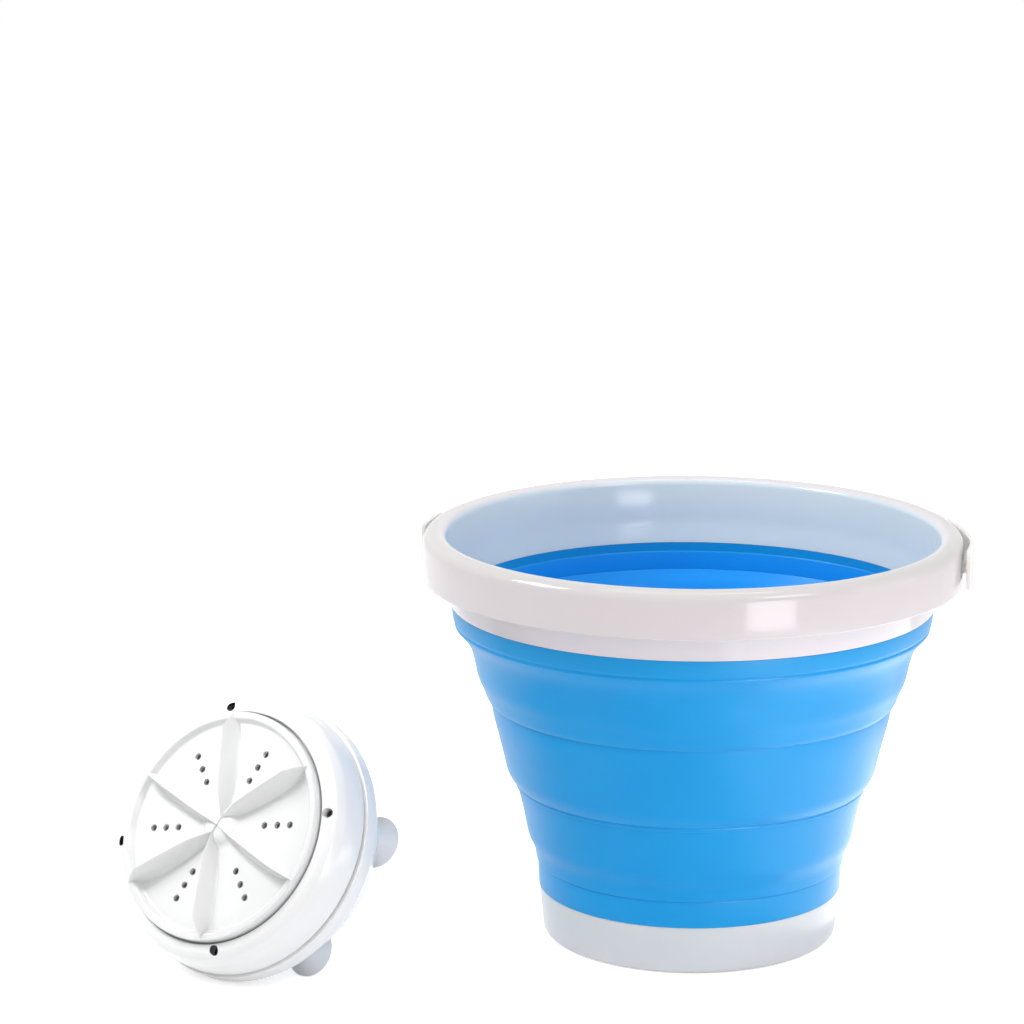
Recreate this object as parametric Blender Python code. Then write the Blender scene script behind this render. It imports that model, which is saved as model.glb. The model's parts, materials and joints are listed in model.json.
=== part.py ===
"""A portable washing machine: a turbine washer and the folding bucket that it washes in.

The bucket stands on the origin, with its axis on +Z. Its blue wall folds at two soft panels, so that the rim
comes down over the base. The washer stands beside it on the edge of its back cover and two suction cups,
with its impeller turned to the front left. Everything of the washer is modelled along its own axis, from the
plane of its suction cups up to the impeller, and one empty then tilts the whole washer onto the floor.
"""

from math import acos, atan2, cos, degrees, pi, radians, sin, tan

import bmesh
import bpy
from mathutils import Matrix, Vector

MM = 0.001

# Running and seating clearances
SEAT_GAP = 0.3 * MM
CUT_OVERRUN = 2.0 * MM
ROUND_STEPS = 28
FINE_STEPS = 12
SMALL_STEPS = 8

# Bucket: heights of its rings, from the floor up
BASE_HEIGHT = 28.3 * MM
LOWER_WALL_HEIGHT = 15.7 * MM
LOWER_FOLD_HEIGHT = 45.0 * MM
MIDDLE_WALL_HEIGHT = 51.0 * MM
UPPER_FOLD_HEIGHT = 44.0 * MM
UPPER_WALL_HEIGHT = 13.0 * MM
COLLAR_FOOT_HEIGHT = 15.4 * MM
SKIRT_HEIGHT = 26.6 * MM
BASE_TOP_Z = BASE_HEIGHT
LOWER_HINGE_Z = BASE_TOP_Z + LOWER_WALL_HEIGHT
MIDDLE_HINGE_Z = LOWER_HINGE_Z + LOWER_FOLD_HEIGHT
UPPER_HINGE_Z = MIDDLE_HINGE_Z + MIDDLE_WALL_HEIGHT
TOP_HINGE_Z = UPPER_HINGE_Z + UPPER_FOLD_HEIGHT
COLLAR_BOTTOM_Z = TOP_HINGE_Z + UPPER_WALL_HEIGHT
SKIRT_BOTTOM_Z = COLLAR_BOTTOM_Z + COLLAR_FOOT_HEIGHT
BUCKET_HEIGHT = SKIRT_BOTTOM_Z + SKIRT_HEIGHT

# Bucket: outer radius of its foot, and how far each ring steps out over the one below
BASE_FOOT_RADIUS = 84.8 * MM
BASE_SPREAD = 2.7 * MM
LOWER_WALL_SPREAD = 1.1 * MM
LOWER_FOLD_SPREAD = 12.5 * MM
MIDDLE_WALL_SPREAD = 15.4 * MM
UPPER_FOLD_SPREAD = 19.7 * MM
UPPER_WALL_SPREAD = 2.5 * MM
COLLAR_SPREAD = 2.7 * MM
RIM_WIDTH = 13.6 * MM
BASE_TOP_RADIUS = BASE_FOOT_RADIUS + BASE_SPREAD
LOWER_HINGE_RADIUS = BASE_TOP_RADIUS + LOWER_WALL_SPREAD
MIDDLE_HINGE_RADIUS = LOWER_HINGE_RADIUS + LOWER_FOLD_SPREAD
UPPER_HINGE_RADIUS = MIDDLE_HINGE_RADIUS + MIDDLE_WALL_SPREAD
TOP_HINGE_RADIUS = UPPER_HINGE_RADIUS + UPPER_FOLD_SPREAD
COLLAR_FOOT_RADIUS = TOP_HINGE_RADIUS + UPPER_WALL_SPREAD
MOUTH_RADIUS = COLLAR_FOOT_RADIUS + COLLAR_SPREAD
RIM_RADIUS = MOUTH_RADIUS + RIM_WIDTH

# Bucket: walls
COLLAR_WALL = 2.2 * MM
BAND_WALL = 2.0 * MM
FOLD_WALL = 1.6 * MM
BASE_WALL = 2.2 * MM
BASE_FLOOR = 2.8 * MM
RIM_ROUND = 7.0 * MM
MOUTH_ROUND = 2.0 * MM
LAP_LENGTH = 4.7 * MM
LAP_THICKNESS = 1.1 * MM
COLLAR_LAP_LENGTH = 3.3 * MM

# Bucket: the rounded shoulder at the foot of each soft panel, its height and how far it steps out
UPPER_SHOULDER = (12.0 * MM, 7.0 * MM)
MIDDLE_SHOULDER = (9.0 * MM, 5.4 * MM)
LOWER_SHOULDER = (16.0 * MM, 5.8 * MM)
# and the flare at the head of the upper panel
FLARE_HEIGHT = 10.0 * MM
FLARE_DEPTH = 7.6 * MM
SHOULDER_ROUND_SHARES = ((0.55, 0.42),)

# Bucket: underside of the base
FOOT_ROUND = 3.0 * MM
FOOT_RING_WIDTH = 11.8 * MM
PANEL_RADIUS = 30.0 * MM
GROOVE_OUTER_RADIUS = BASE_FOOT_RADIUS - FOOT_RING_WIDTH
GROOVE_DEPTH = 1.0 * MM

# Bail handle with its pegs. Its axis is turned a little from straight across, and the bail lies to the right
# as far as its side play lets it
HANDLE_TURN = radians(-10)
PIVOT_RISE = 12.8 * MM
HANDLE_PIVOT_Z = SKIRT_BOTTOM_Z + PIVOT_RISE
HANDLE_CLEARANCE = 1.8 * MM
HANDLE_PLAY = 1.2 * MM
HANDLE_THICKNESS = 2.6 * MM
HANDLE_WIDTH = 18.0 * MM
EAR_WIDTH = 22.6 * MM
EAR_OVERRUN = 9.0 * MM
EAR_LENGTH = 36.0 * MM
HANDLE_EDGE_ROUND = 0.8 * MM
HANDLE_STEPS = 28
PEG_RADIUS = 4.0 * MM
PEG_SNAP_RADIUS = 5.4 * MM
PEG_SNAP_THICKNESS = 2.0 * MM

# Washer: radii, from the impeller out to the housing's edge and in again to its back
IMPELLER_RADIUS = 66.0 * MM
RECESS_CLEARANCE = 1.2 * MM
SHOULDER_WIDTH = 11.8 * MM
RING_STEP = 1.5 * MM
BACK_TAPER_WIDTH = 12.5 * MM
HOUSING_WALL = 2.5 * MM
RECESS_RADIUS = IMPELLER_RADIUS + RECESS_CLEARANCE
COVER_RADIUS = RECESS_RADIUS + SHOULDER_WIDTH
EDGE_RADIUS = COVER_RADIUS + RING_STEP
BACK_FACE_RADIUS = EDGE_RADIUS - BACK_TAPER_WIDTH

# Washer: heights above the plane of the suction cups' lips
CUP_HEIGHT = 9.0 * MM
BACK_TAPER_HEIGHT = 20.0 * MM
BACK_RING_HEIGHT = 9.4 * MM
GROOVE_WIDTH = 1.2 * MM
COVER_HEIGHT = 25.0 * MM
RECESS_DEPTH = 4.6 * MM
TONGUE_LENGTH = 4.6 * MM
TONGUE_THICKNESS = 1.3 * MM
SEAL_HEIGHT = 1.5 * MM
RING_CHAMFER = 0.6 * MM
BACK_FACE_Z = CUP_HEIGHT
FLOOR_Z = BACK_FACE_Z + HOUSING_WALL
EDGE_Z = BACK_FACE_Z + BACK_TAPER_HEIGHT
RING_TOP_Z = EDGE_Z + BACK_RING_HEIGHT
COVER_BOTTOM_Z = RING_TOP_Z + GROOVE_WIDTH
COVER_TOP_Z = COVER_BOTTOM_Z + COVER_HEIGHT
RECESS_Z = COVER_TOP_Z - RECESS_DEPTH
DECK_Z = RECESS_Z - HOUSING_WALL
# The cover's shoulder, from its crest down to its foot, as shares of its width and height
SHOULDER_SHARES = ((0.15, 1.0), (0.45, 0.97), (0.71, 0.87), (0.88, 0.68), (0.97, 0.38), (1.0, 0.0))

# Washer: the screws that close the housing
SCREW_COUNT = 4
SCREW_TURN = radians(17.1)
SCREW_INSET = 8.2 * MM
SCREW_CIRCLE_RADIUS = COVER_RADIUS - SCREW_INSET
WELL_RADIUS = 2.8 * MM
WELL_FLOOR_RISE = 1.0 * MM
SCREW_HEAD_RADIUS = 2.5 * MM
SCREW_HEAD_HEIGHT = 2.0 * MM
HEAD_CROWN_SHARE = 0.7
SCREW_RADIUS = 1.5 * MM
SCREW_LENGTH = 21.0 * MM
SCREW_BOSS_RADIUS = 5.8 * MM
SCREW_POST_RADIUS = 4.0 * MM
SCREW_POST_FOOT_SHARE = 0.55
SCREW_JOINT_DROP = 10.0 * MM
SCREW_JOINT_Z = DECK_Z - SCREW_JOINT_DROP

# Washer: the cross recess of every screw head
CROSS_LENGTH = 2.6 * MM
CROSS_WIDTH = 0.6 * MM
CROSS_DEPTH = 1.0 * MM
CROSS_TURN = radians(23)

# Washer: suction cups, the lowest two of which carry it as it stands
CUP_COUNT = 5
CUP_INSET = 6.9 * MM
CUP_CIRCLE_RADIUS = BACK_FACE_RADIUS - CUP_INSET
CUP_LIP_RADIUS = 15.0 * MM
CUP_LIP_WIDTH = 1.4 * MM
CUP_FLANGE_RADIUS = 6.5 * MM
CUP_NECK_RADIUS = 3.2 * MM
CUP_HEAD_RADIUS = 4.6 * MM
CUP_HEAD_HEIGHT = 2.4 * MM
CUP_HEAD_TAPER_SHARE = 0.6
CUP_HOLLOW_HEIGHT = 5.0 * MM

# Washer: impeller
IMPELLER_RISE = 4.4 * MM
IMPELLER_TOP_Z = COVER_TOP_Z + IMPELLER_RISE
RIM_LIP_WIDTH = 4.0 * MM
RIM_LIP_SLOPE = 2.0 * MM
PLATE_DROP = 3.5 * MM
PLATE_THICKNESS = 2.5 * MM
RIM_SKIRT_DROP = 1.4 * MM
RIM_SKIRT_WALL = 2.2 * MM
RIM_EDGE_ROUND = 1.0 * MM
HUB_RADIUS = 12.0 * MM
HUB_HEIGHT = 4.0 * MM
HUB_SHARES = ((0.78, 0.62), (0.45, 0.94), (0.0, 1.0))
VANE_COUNT = 6
VANE_TURN = radians(41.5)
VANE_INNER_RADIUS = 5.3 * MM
VANE_TIP_INSET = 0.8 * MM
VANE_TIP_RADIUS = IMPELLER_RADIUS - VANE_TIP_INSET
VANE_HALF_WIDTH = 5.0 * MM
VANE_CREST_HALF_WIDTH = 0.5 * MM
VANE_HEIGHT = 13.0 * MM
VANE_ROOT = 1.2 * MM
# Along a vane: share of its length, share of its width and share of its height
VANE_SHARES = (
    (0.0, 0.16, 0.36),
    (0.1, 0.42, 0.56),
    (0.22, 0.70, 0.80),
    (0.38, 0.94, 0.90),
    (0.55, 1.0, 0.95),
    (0.7, 0.92, 0.98),
    (0.82, 0.70, 1.0),
    (0.91, 0.42, 0.72),
    (1.0, 0.12, 0.30),
)
VANE_WAIST_SHARES = (0.36, 0.5)
# The short ridge on the hub that joins the vanes' inner ends, by the same three shares
HUB_RIDGE_SHARES = ((0.0, 0.16, 0.36), (0.08, 0.22, 0.375), (0.92, 0.22, 0.375), (1.0, 0.16, 0.36))
HOLE_RADIUS = 1.9 * MM
# Circles of holes, measured in from the impeller's edge
HOLE_CIRCLE_INSETS = (36.0 * MM, 27.2 * MM, 18.6 * MM)

# Washer: output shaft with its bushes, seal and insert
SHAFT_RADIUS = 3.0 * MM
SHAFT_BOTTOM_RISE = 0.4 * MM
BUSH_RADIUS = 5.0 * MM
SEAL_RADIUS = 7.3 * MM
HUB_BOSS_RADIUS = 10.0 * MM
HUB_BOSS_RISE = 2.6 * MM
HUB_BOSS_DROP = 0.9 * MM
INSERT_RADIUS = 4.7 * MM
INSERT_HEIGHT = 4.2 * MM

# Washer: gears and the plate that carries them
MODULE = 1.0 * MM
MOTOR_TEETH = 10
IDLER_WHEEL_TEETH = 30
IDLER_PINION_TEETH = 12
OUTPUT_TEETH = 32
PRESSURE_ANGLE = radians(20)
BACKLASH_SHARE = 0.15
ADDENDUM_SHARE = 1.0
DEDENDUM_SHARE = 1.2
IDLER_DIRECTION = radians(90)
MOTOR_DIRECTION = radians(-45)
IDLER_PIN_RADIUS = 2.0 * MM
GEAR_PLATE_THICKNESS = 2.5 * MM
GEAR_PLATE_EDGE = 6.0 * MM
WHEEL_THICKNESS = 4.0 * MM
OUTPUT_THICKNESS = 5.0 * MM
GEAR_LIFT = 0.9 * MM
STAGE_STEP = 1.0 * MM
OUTPUT_HUB_RADIUS = 4.9 * MM
GEAR_PLATE_DROP = 14.9 * MM
GEAR_PLATE_Z = DECK_Z - GEAR_PLATE_DROP
GEAR_PLATE_TOP_Z = GEAR_PLATE_Z + GEAR_PLATE_THICKNESS
WHEEL_Z = GEAR_PLATE_TOP_Z + GEAR_LIFT
OUTPUT_Z = WHEEL_Z + WHEEL_THICKNESS + STAGE_STEP

# Washer: posts and screws that hang the gear plate from the front cover, radius and direction of each
PLATE_POSTS = ((23.0 * MM, radians(172)), (24.0 * MM, radians(-33)), (43.0 * MM, radians(90)))
PLATE_POST_RADIUS = 3.4 * MM
PLATE_SCREW_RADIUS = 1.3 * MM
PLATE_SCREW_HEAD_RADIUS = 2.6 * MM
PLATE_SCREW_HEAD_HEIGHT = 1.8 * MM
PLATE_SCREW_LENGTH = 9.0 * MM

# Washer: motor
MOTOR_RADIUS = 13.8 * MM
MOTOR_LENGTH = 28.0 * MM
MOTOR_NOSE_RADIUS = 5.0 * MM
MOTOR_NOSE_HEIGHT = 1.5 * MM
MOTOR_END_CHAMFER = 1.5 * MM
MOTOR_SHAFT_RADIUS = 1.15 * MM
MOTOR_SHAFT_SINK = 2.5 * MM
MOTOR_SCREW_CIRCLE_RADIUS = 9.0 * MM
MOTOR_SCREW_RADIUS = 1.2 * MM
MOTOR_SCREW_HEAD_RADIUS = 2.0 * MM
MOTOR_SCREW_HEAD_HEIGHT = 1.4 * MM
MOTOR_SCREW_LENGTH = 5.4 * MM

# Washer: control board on two stakes of the back cover
BOARD_LENGTH = 36.0 * MM
BOARD_WIDTH = 22.0 * MM
BOARD_THICKNESS = 1.6 * MM
BOARD_RISE = 4.8 * MM
BOARD_X = -25.0 * MM
BOARD_Y = -24.0 * MM
BOARD_STAKE_INSET = 4.0 * MM
BOARD_POST_RADIUS = 3.0 * MM
BOARD_STAKE_RADIUS = 1.2 * MM
CAPACITOR_RADIUS = 4.0 * MM
CAPACITOR_HEIGHT = 9.0 * MM
CAPACITOR_OFFSET = 6.0 * MM
CHIP_SIDE = 5.0 * MM
CHIP_HEIGHT = 1.6 * MM
SOCKET_LENGTH = 10.0 * MM
SOCKET_DEPTH = 4.0 * MM
SOCKET_HEIGHT = 6.0 * MM
BOARD_EDGE_INSET = 1.0 * MM

# Washer: the rubber gland on the back cover, closed by a membrane at the foot of its mouth
GLAND_DIRECTION = radians(180)
GLAND_MOUTH_RADIUS = 2.4 * MM
GLAND_NECK_RADIUS = 4.5 * MM
GLAND_FLANGE_RADIUS = 6.5 * MM
GLAND_FLANGE_THICKNESS = 1.5 * MM
GLAND_LIP_GAP = 0.7 * MM

# Washer: where it stands, and how far its face is turned to the left of straight ahead
WASHER_TURN = radians(34)
WASHER_GAP = 8.2625 * MM
WASHER_X = -(RIM_RADIUS + WASHER_GAP + EDGE_RADIUS * cos(WASHER_TURN))
WASHER_Y = -52.0 * MM

COLOURS = {
    "white_pp": ((0.80, 0.80, 0.80, 1.0), 0.25, 0.0),
    "white_abs": ((0.85, 0.85, 0.85, 1.0), 0.2, 0.0),
    "blue_tpr": ((0.03, 0.32, 0.78, 1.0), 0.4, 0.0),
    "black_rubber": ((0.02, 0.02, 0.02, 1.0), 0.6, 0.0),
    "clear_rubber": ((0.55, 0.58, 0.60, 1.0), 0.4, 0.0),
    "dark_steel": ((0.04, 0.04, 0.045, 1.0), 0.4, 1.0),
    "steel": ((0.55, 0.55, 0.56, 1.0), 0.3, 1.0),
    "brass": ((0.75, 0.55, 0.25, 1.0), 0.3, 1.0),
    "gear_nylon": ((0.75, 0.73, 0.66, 1.0), 0.45, 0.0),
    "board_green": ((0.02, 0.22, 0.10, 1.0), 0.5, 0.0),
}


def clear_scene():
    for obj in list(bpy.data.objects):
        bpy.data.objects.remove(obj, do_unlink=True)


def material(name):
    found = bpy.data.materials.get(name)
    if found:
        return found
    colour, roughness, metallic = COLOURS[name]
    made = bpy.data.materials.new(name)
    made.use_nodes = True
    shader = made.node_tree.nodes["Principled BSDF"]
    shader.inputs["Base Color"].default_value = colour
    shader.inputs["Roughness"].default_value = roughness
    shader.inputs["Metallic"].default_value = metallic
    made.diffuse_color = colour
    return made


def finished(name, shape, finish, place=(0, 0, 0), parent=None):
    """The bmesh as an object of this name, smooth but for its sharp edges."""
    bmesh.ops.remove_doubles(shape, verts=shape.verts, dist=0.001 * MM)
    bmesh.ops.recalc_face_normals(shape, faces=shape.faces)
    mesh = bpy.data.meshes.new(name)
    shape.to_mesh(mesh)
    shape.free()
    mesh.shade_smooth()
    mesh.set_sharp_from_angle(angle=radians(35))
    obj = bpy.data.objects.new(name, mesh)
    obj.data.materials.append(material(finish))
    obj.location = place
    obj.parent = parent
    bpy.context.scene.collection.objects.link(obj)
    return obj


def turned(outline, steps=ROUND_STEPS, turn=0.0):
    """A bmesh turned from an outline of (radius, height) points. It closes by itself, at the axis or off it."""
    shape = bmesh.new()
    corners = [shape.verts.new((r * cos(turn), r * sin(turn), z)) for r, z in outline]
    on_axis = outline[0][0] == 0 and outline[-1][0] == 0
    pairs = zip(corners, corners[1:] if on_axis else corners[1:] + corners[:1])
    edges = [shape.edges.new(pair) for pair in pairs]
    bmesh.ops.spin(
        shape, geom=corners + edges, cent=(0, 0, 0), axis=(0, 0, 1), angle=2 * pi, steps=steps, use_merge=True
    )
    return shape


def rod(radius, bottom, top, steps=SMALL_STEPS, turn=0.0):
    return turned([(0, bottom), (radius, bottom), (radius, top), (0, top)], steps, turn)


def tube(inner, outer, bottom, top, steps=SMALL_STEPS):
    return turned([(inner, bottom), (outer, bottom), (outer, top), (inner, top)], steps)


def block(low, high):
    shape = bmesh.new()
    bmesh.ops.create_cube(shape, size=1)
    size = Vector(high) - Vector(low)
    bmesh.ops.scale(shape, vec=size, verts=shape.verts)
    bmesh.ops.translate(shape, vec=Vector(low) + size / 2, verts=shape.verts)
    return shape


def lofted(rings):
    """A bmesh through rings of as many points each, closed at its two ends."""
    shape = bmesh.new()
    rows = [[shape.verts.new(point) for point in ring] for ring in rings]
    for low, high in zip(rows, rows[1:]):
        for here, there in zip(range(len(low)), list(range(1, len(low))) + [0]):
            shape.faces.new((low[here], low[there], high[there], high[here]))
    shape.faces.new(list(reversed(rows[0])))
    shape.faces.new(rows[-1])
    return shape


def moved(shape, matrix):
    bmesh.ops.transform(shape, matrix=matrix, verts=shape.verts)
    return shape


def shifted(shape, x, y, z=0):
    return moved(shape, Matrix.Translation((x, y, z)))


def at_angle(radius, angle):
    return radius * cos(angle), radius * sin(angle)


def ring_of(count, radius, start):
    return [at_angle(radius, start + 2 * pi * index / count) for index in range(count)]


def combine(target, name, shape, operation):
    """Joins a hidden helper to the target, or cuts it away, with a live Boolean."""
    helper = finished(name, shape, "steel", parent=target.parent)
    helper.location = target.location
    helper.hide_render = True
    helper.display_type = "WIRE"
    boolean = target.modifiers.new(name, "BOOLEAN")
    boolean.operation = operation
    boolean.object = helper
    boolean.solver = "EXACT"


def cut(target, name, shape):
    combine(target, name, shape, "DIFFERENCE")


def join(target, name, shape):
    combine(target, name, shape, "UNION")


def together(shapes):
    """Several separate bmeshes as one, for a helper that cuts in several places."""
    whole = bmesh.new()
    for shape in shapes:
        mesh = bpy.data.meshes.new("helper")
        bmesh.ops.recalc_face_normals(shape, faces=shape.faces)
        shape.to_mesh(mesh)
        shape.free()
        whole.from_mesh(mesh)
        bpy.data.meshes.remove(mesh)
    return whole


def arc(centre_r, centre_z, radius, start, end, steps):
    """Points of (radius, height) along an arc, its angles in degrees from the outward direction."""
    angles = [radians(start + (end - start) * index / steps) for index in range(steps + 1)]
    return [(centre_r + radius * cos(a), centre_z + radius * sin(a)) for a in angles]


def shouldered(bottom, top, shoulder):
    """The outer line of a soft wall from its lower hinge up: a rounded shoulder, then a straight cone."""
    (low_r, low_z), height, depth = bottom, *shoulder
    line = [bottom]
    line += [(low_r + depth * out, low_z + height * up) for up, out in SHOULDER_ROUND_SHARES]
    line += [(low_r + depth, low_z + height), top]
    return line


def walled(outer, wall):
    """A closed outline: the outer line, and the same line drawn in by the wall."""
    return outer + [(r - wall, z) for r, z in reversed(outer)]


def make_base_shell():
    lap_outer = BASE_TOP_RADIUS - LAP_THICKNESS
    outline = [(0, 0), (PANEL_RADIUS, 0), (PANEL_RADIUS + GROOVE_DEPTH, GROOVE_DEPTH)]
    outline += [(GROOVE_OUTER_RADIUS - GROOVE_DEPTH, GROOVE_DEPTH), (GROOVE_OUTER_RADIUS, 0)]
    outline += arc(BASE_FOOT_RADIUS - FOOT_ROUND, FOOT_ROUND, FOOT_ROUND, -90, 0, 2)
    outline += [(BASE_TOP_RADIUS, BASE_TOP_Z), (lap_outer, BASE_TOP_Z)]
    outline += [(lap_outer, BASE_TOP_Z + LAP_LENGTH), (BASE_TOP_RADIUS - BASE_WALL, BASE_TOP_Z + LAP_LENGTH)]
    outline += [(BASE_FOOT_RADIUS - BASE_WALL, BASE_FLOOR), (0, BASE_FLOOR)]
    return finished("base_shell", turned(outline), "white_pp")


def make_lower_wall():
    """The soft wall's foot, moulded over the lap of the base shell."""
    lap_inner = BASE_TOP_RADIUS - LAP_THICKNESS + SEAT_GAP
    bottom = BASE_TOP_Z + SEAT_GAP
    step = BASE_TOP_Z + LAP_LENGTH + SEAT_GAP
    top = LOWER_HINGE_Z
    outline = [(lap_inner, bottom), (BASE_TOP_RADIUS, bottom), (LOWER_HINGE_RADIUS, top)]
    outline += [(LOWER_HINGE_RADIUS - BAND_WALL, top), (BASE_TOP_RADIUS - BAND_WALL, step), (lap_inner, step)]
    return finished("lower_wall", turned(outline), "blue_tpr")


def make_lower_fold():
    bottom = (LOWER_HINGE_RADIUS, LOWER_HINGE_Z + SEAT_GAP)
    top = (MIDDLE_HINGE_RADIUS, MIDDLE_HINGE_Z)
    line = shouldered(bottom, top, LOWER_SHOULDER)
    return finished("lower_fold", turned(walled(line, FOLD_WALL)), "blue_tpr")


def make_middle_wall():
    bottom = (MIDDLE_HINGE_RADIUS, MIDDLE_HINGE_Z + SEAT_GAP)
    top = (UPPER_HINGE_RADIUS, UPPER_HINGE_Z)
    line = shouldered(bottom, top, MIDDLE_SHOULDER)
    return finished("middle_wall", turned(walled(line, BAND_WALL)), "blue_tpr")


def make_upper_fold():
    bottom = (UPPER_HINGE_RADIUS, UPPER_HINGE_Z + SEAT_GAP)
    flare = (TOP_HINGE_RADIUS - FLARE_DEPTH, TOP_HINGE_Z - FLARE_HEIGHT)
    line = shouldered(bottom, flare, UPPER_SHOULDER) + [(TOP_HINGE_RADIUS, TOP_HINGE_Z)]
    return finished("upper_fold", turned(walled(line, FOLD_WALL)), "blue_tpr")


def make_upper_wall():
    """The soft wall's head, whose inner lip laps up inside the collar."""
    bottom = TOP_HINGE_Z + SEAT_GAP
    step = COLLAR_BOTTOM_Z - SEAT_GAP
    inner = COLLAR_FOOT_RADIUS - COLLAR_WALL
    lip_top = COLLAR_BOTTOM_Z + COLLAR_LAP_LENGTH - SEAT_GAP
    outline = [(TOP_HINGE_RADIUS - BAND_WALL, bottom), (TOP_HINGE_RADIUS, bottom), (COLLAR_FOOT_RADIUS, step)]
    outline += [(inner + LAP_THICKNESS, step), (inner + LAP_THICKNESS, lip_top), (inner, lip_top)]
    return finished("upper_wall", turned(outline), "blue_tpr")


def make_collar():
    """The stiff rim: a mouth wall, a rounded top and a skirt that hangs outside, open below."""
    foot_inner = COLLAR_FOOT_RADIUS - COLLAR_WALL
    lap_inner = foot_inner + LAP_THICKNESS + SEAT_GAP
    lap_top = COLLAR_BOTTOM_Z + COLLAR_LAP_LENGTH
    crown = BUCKET_HEIGHT
    outline = [(foot_inner, lap_top), (lap_inner, lap_top), (lap_inner, COLLAR_BOTTOM_Z)]
    outline += [(COLLAR_FOOT_RADIUS, COLLAR_BOTTOM_Z)]
    inside_round = RIM_ROUND - COLLAR_WALL
    outline += [(MOUTH_RADIUS + COLLAR_WALL, crown - COLLAR_WALL - MOUTH_ROUND)]
    outline += [(MOUTH_RADIUS + COLLAR_WALL + MOUTH_ROUND, crown - COLLAR_WALL)]
    outline += arc(RIM_RADIUS - RIM_ROUND, crown - RIM_ROUND, inside_round, 90, 0, 2)
    outline += [(RIM_RADIUS - COLLAR_WALL, SKIRT_BOTTOM_Z), (RIM_RADIUS, SKIRT_BOTTOM_Z)]
    outline += arc(RIM_RADIUS - RIM_ROUND, crown - RIM_ROUND, RIM_ROUND, 0, 90, 3)
    outline += arc(MOUTH_RADIUS + MOUTH_ROUND, crown - MOUTH_ROUND, MOUTH_ROUND, 90, 180, 2)
    collar = finished("collar", turned(outline), "white_pp")
    for side, word in ((-1, "left"), (1, "right")):
        inside = RIM_RADIUS - COLLAR_WALL - CUT_OVERRUN
        hole = moved(rod(PEG_RADIUS + SEAT_GAP, inside, RIM_RADIUS + CUT_OVERRUN, FINE_STEPS), along_pivot(side))
        cut(collar, "pivot_hole_" + word, shifted(hole, 0, 0, HANDLE_PIVOT_Z))


def along_pivot(side):
    """From a piece's own +Z axis to the handle's axis, out to its left (-1) or its right (1)."""
    return Matrix.Rotation(HANDLE_TURN, 4, "Z") @ Matrix.Rotation(side * pi / 2, 4, "Y")


def handle_section(x, y, outward, width):
    """Eight points round the handle's band at (x, y): its width stands along Z, its edges are taken off."""
    half_width = width / 2
    inside = HANDLE_EDGE_ROUND
    depth = HANDLE_THICKNESS
    flat = [(0, -half_width + inside), (0, half_width - inside), (inside, half_width), (depth - inside, half_width)]
    flat += [(depth, half_width - inside), (depth, -half_width + inside)]
    flat += [(depth - inside, -half_width), (inside, -half_width)]
    return [(x + outward[0] * out, y + outward[1] * out, up) for out, up in flat]


def make_handle():
    """The bail at rest round the back of the rim, with a snap peg inside each ear. Its origin is on its axis."""
    inner = RIM_RADIUS + HANDLE_CLEARANCE
    rings = [handle_section(inner, -EAR_OVERRUN, (1, 0), EAR_WIDTH)]
    for index in range(HANDLE_STEPS + 1):
        angle = pi * index / HANDLE_STEPS
        from_end = min(angle, pi - angle) * inner
        blend = min(1, max(0, (from_end - EAR_LENGTH / 2) / (EAR_LENGTH / 2)))
        eased = blend * blend * (3 - 2 * blend)
        width = EAR_WIDTH + (HANDLE_WIDTH - EAR_WIDTH) * eased
        x, y = at_angle(inner, angle)
        rings.append(handle_section(x, y, (cos(angle), sin(angle)), width))
    rings.append(handle_section(-inner, -EAR_OVERRUN, (-1, 0), EAR_WIDTH))
    band = shifted(lofted(rings), HANDLE_PLAY, 0)
    band = moved(band, Matrix.Rotation(HANDLE_TURN, 4, "Z"))
    handle = finished("handle", band, "white_pp", (0, 0, HANDLE_PIVOT_Z))
    snap_top = RIM_RADIUS - COLLAR_WALL - HANDLE_PLAY - 5 * SEAT_GAP
    snap_bottom = snap_top - PEG_SNAP_THICKNESS
    peg_end = inner + HANDLE_THICKNESS / 2
    outline = [(0, snap_bottom), (PEG_SNAP_RADIUS - PEG_SNAP_THICKNESS / 2, snap_bottom)]
    outline += [(PEG_SNAP_RADIUS, snap_top), (PEG_RADIUS, snap_top), (PEG_RADIUS, peg_end), (0, peg_end)]
    for side, word in ((-1, "left"), (1, "right")):
        peg = shifted(turned(outline, FINE_STEPS), 0, 0, side * HANDLE_PLAY)
        join(handle, "peg_" + word, moved(peg, along_pivot(side)))


def cup_reach():
    """How far below the washer's axis the lips of the lowest two suction cups come."""
    return CUP_CIRCLE_RADIUS * cos(pi / CUP_COUNT) + CUP_LIP_RADIUS


def washer_axis():
    """The empty that stands the washer on its back edge and two cups, its +Z out of the impeller."""
    tilt = atan2(EDGE_RADIUS - cup_reach(), EDGE_Z)
    height = EDGE_RADIUS * cos(tilt) - EDGE_Z * sin(tilt)
    facing = Vector((-sin(WASHER_TURN) * cos(tilt), -cos(WASHER_TURN) * cos(tilt), sin(tilt)))
    upward = Vector((sin(WASHER_TURN) * sin(tilt), cos(WASHER_TURN) * sin(tilt), cos(tilt)))
    axes = Matrix((upward.cross(facing), upward, facing)).transposed().to_4x4()
    empty = bpy.data.objects.new("washer_axis", None)
    empty.matrix_world = Matrix.Translation((WASHER_X, WASHER_Y, height)) @ axes
    bpy.context.scene.collection.objects.link(empty)
    print("washer tilt in degrees", degrees(tilt), "lip plane centre", empty.matrix_world.translation)
    print("washer facing", facing)
    return empty


def shoulder_line():
    """The front cover's outside from its crest to its foot."""
    width = COVER_RADIUS - RECESS_RADIUS
    return [(RECESS_RADIUS + width * out, COVER_BOTTOM_Z + COVER_HEIGHT * up) for out, up in SHOULDER_SHARES]


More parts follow.
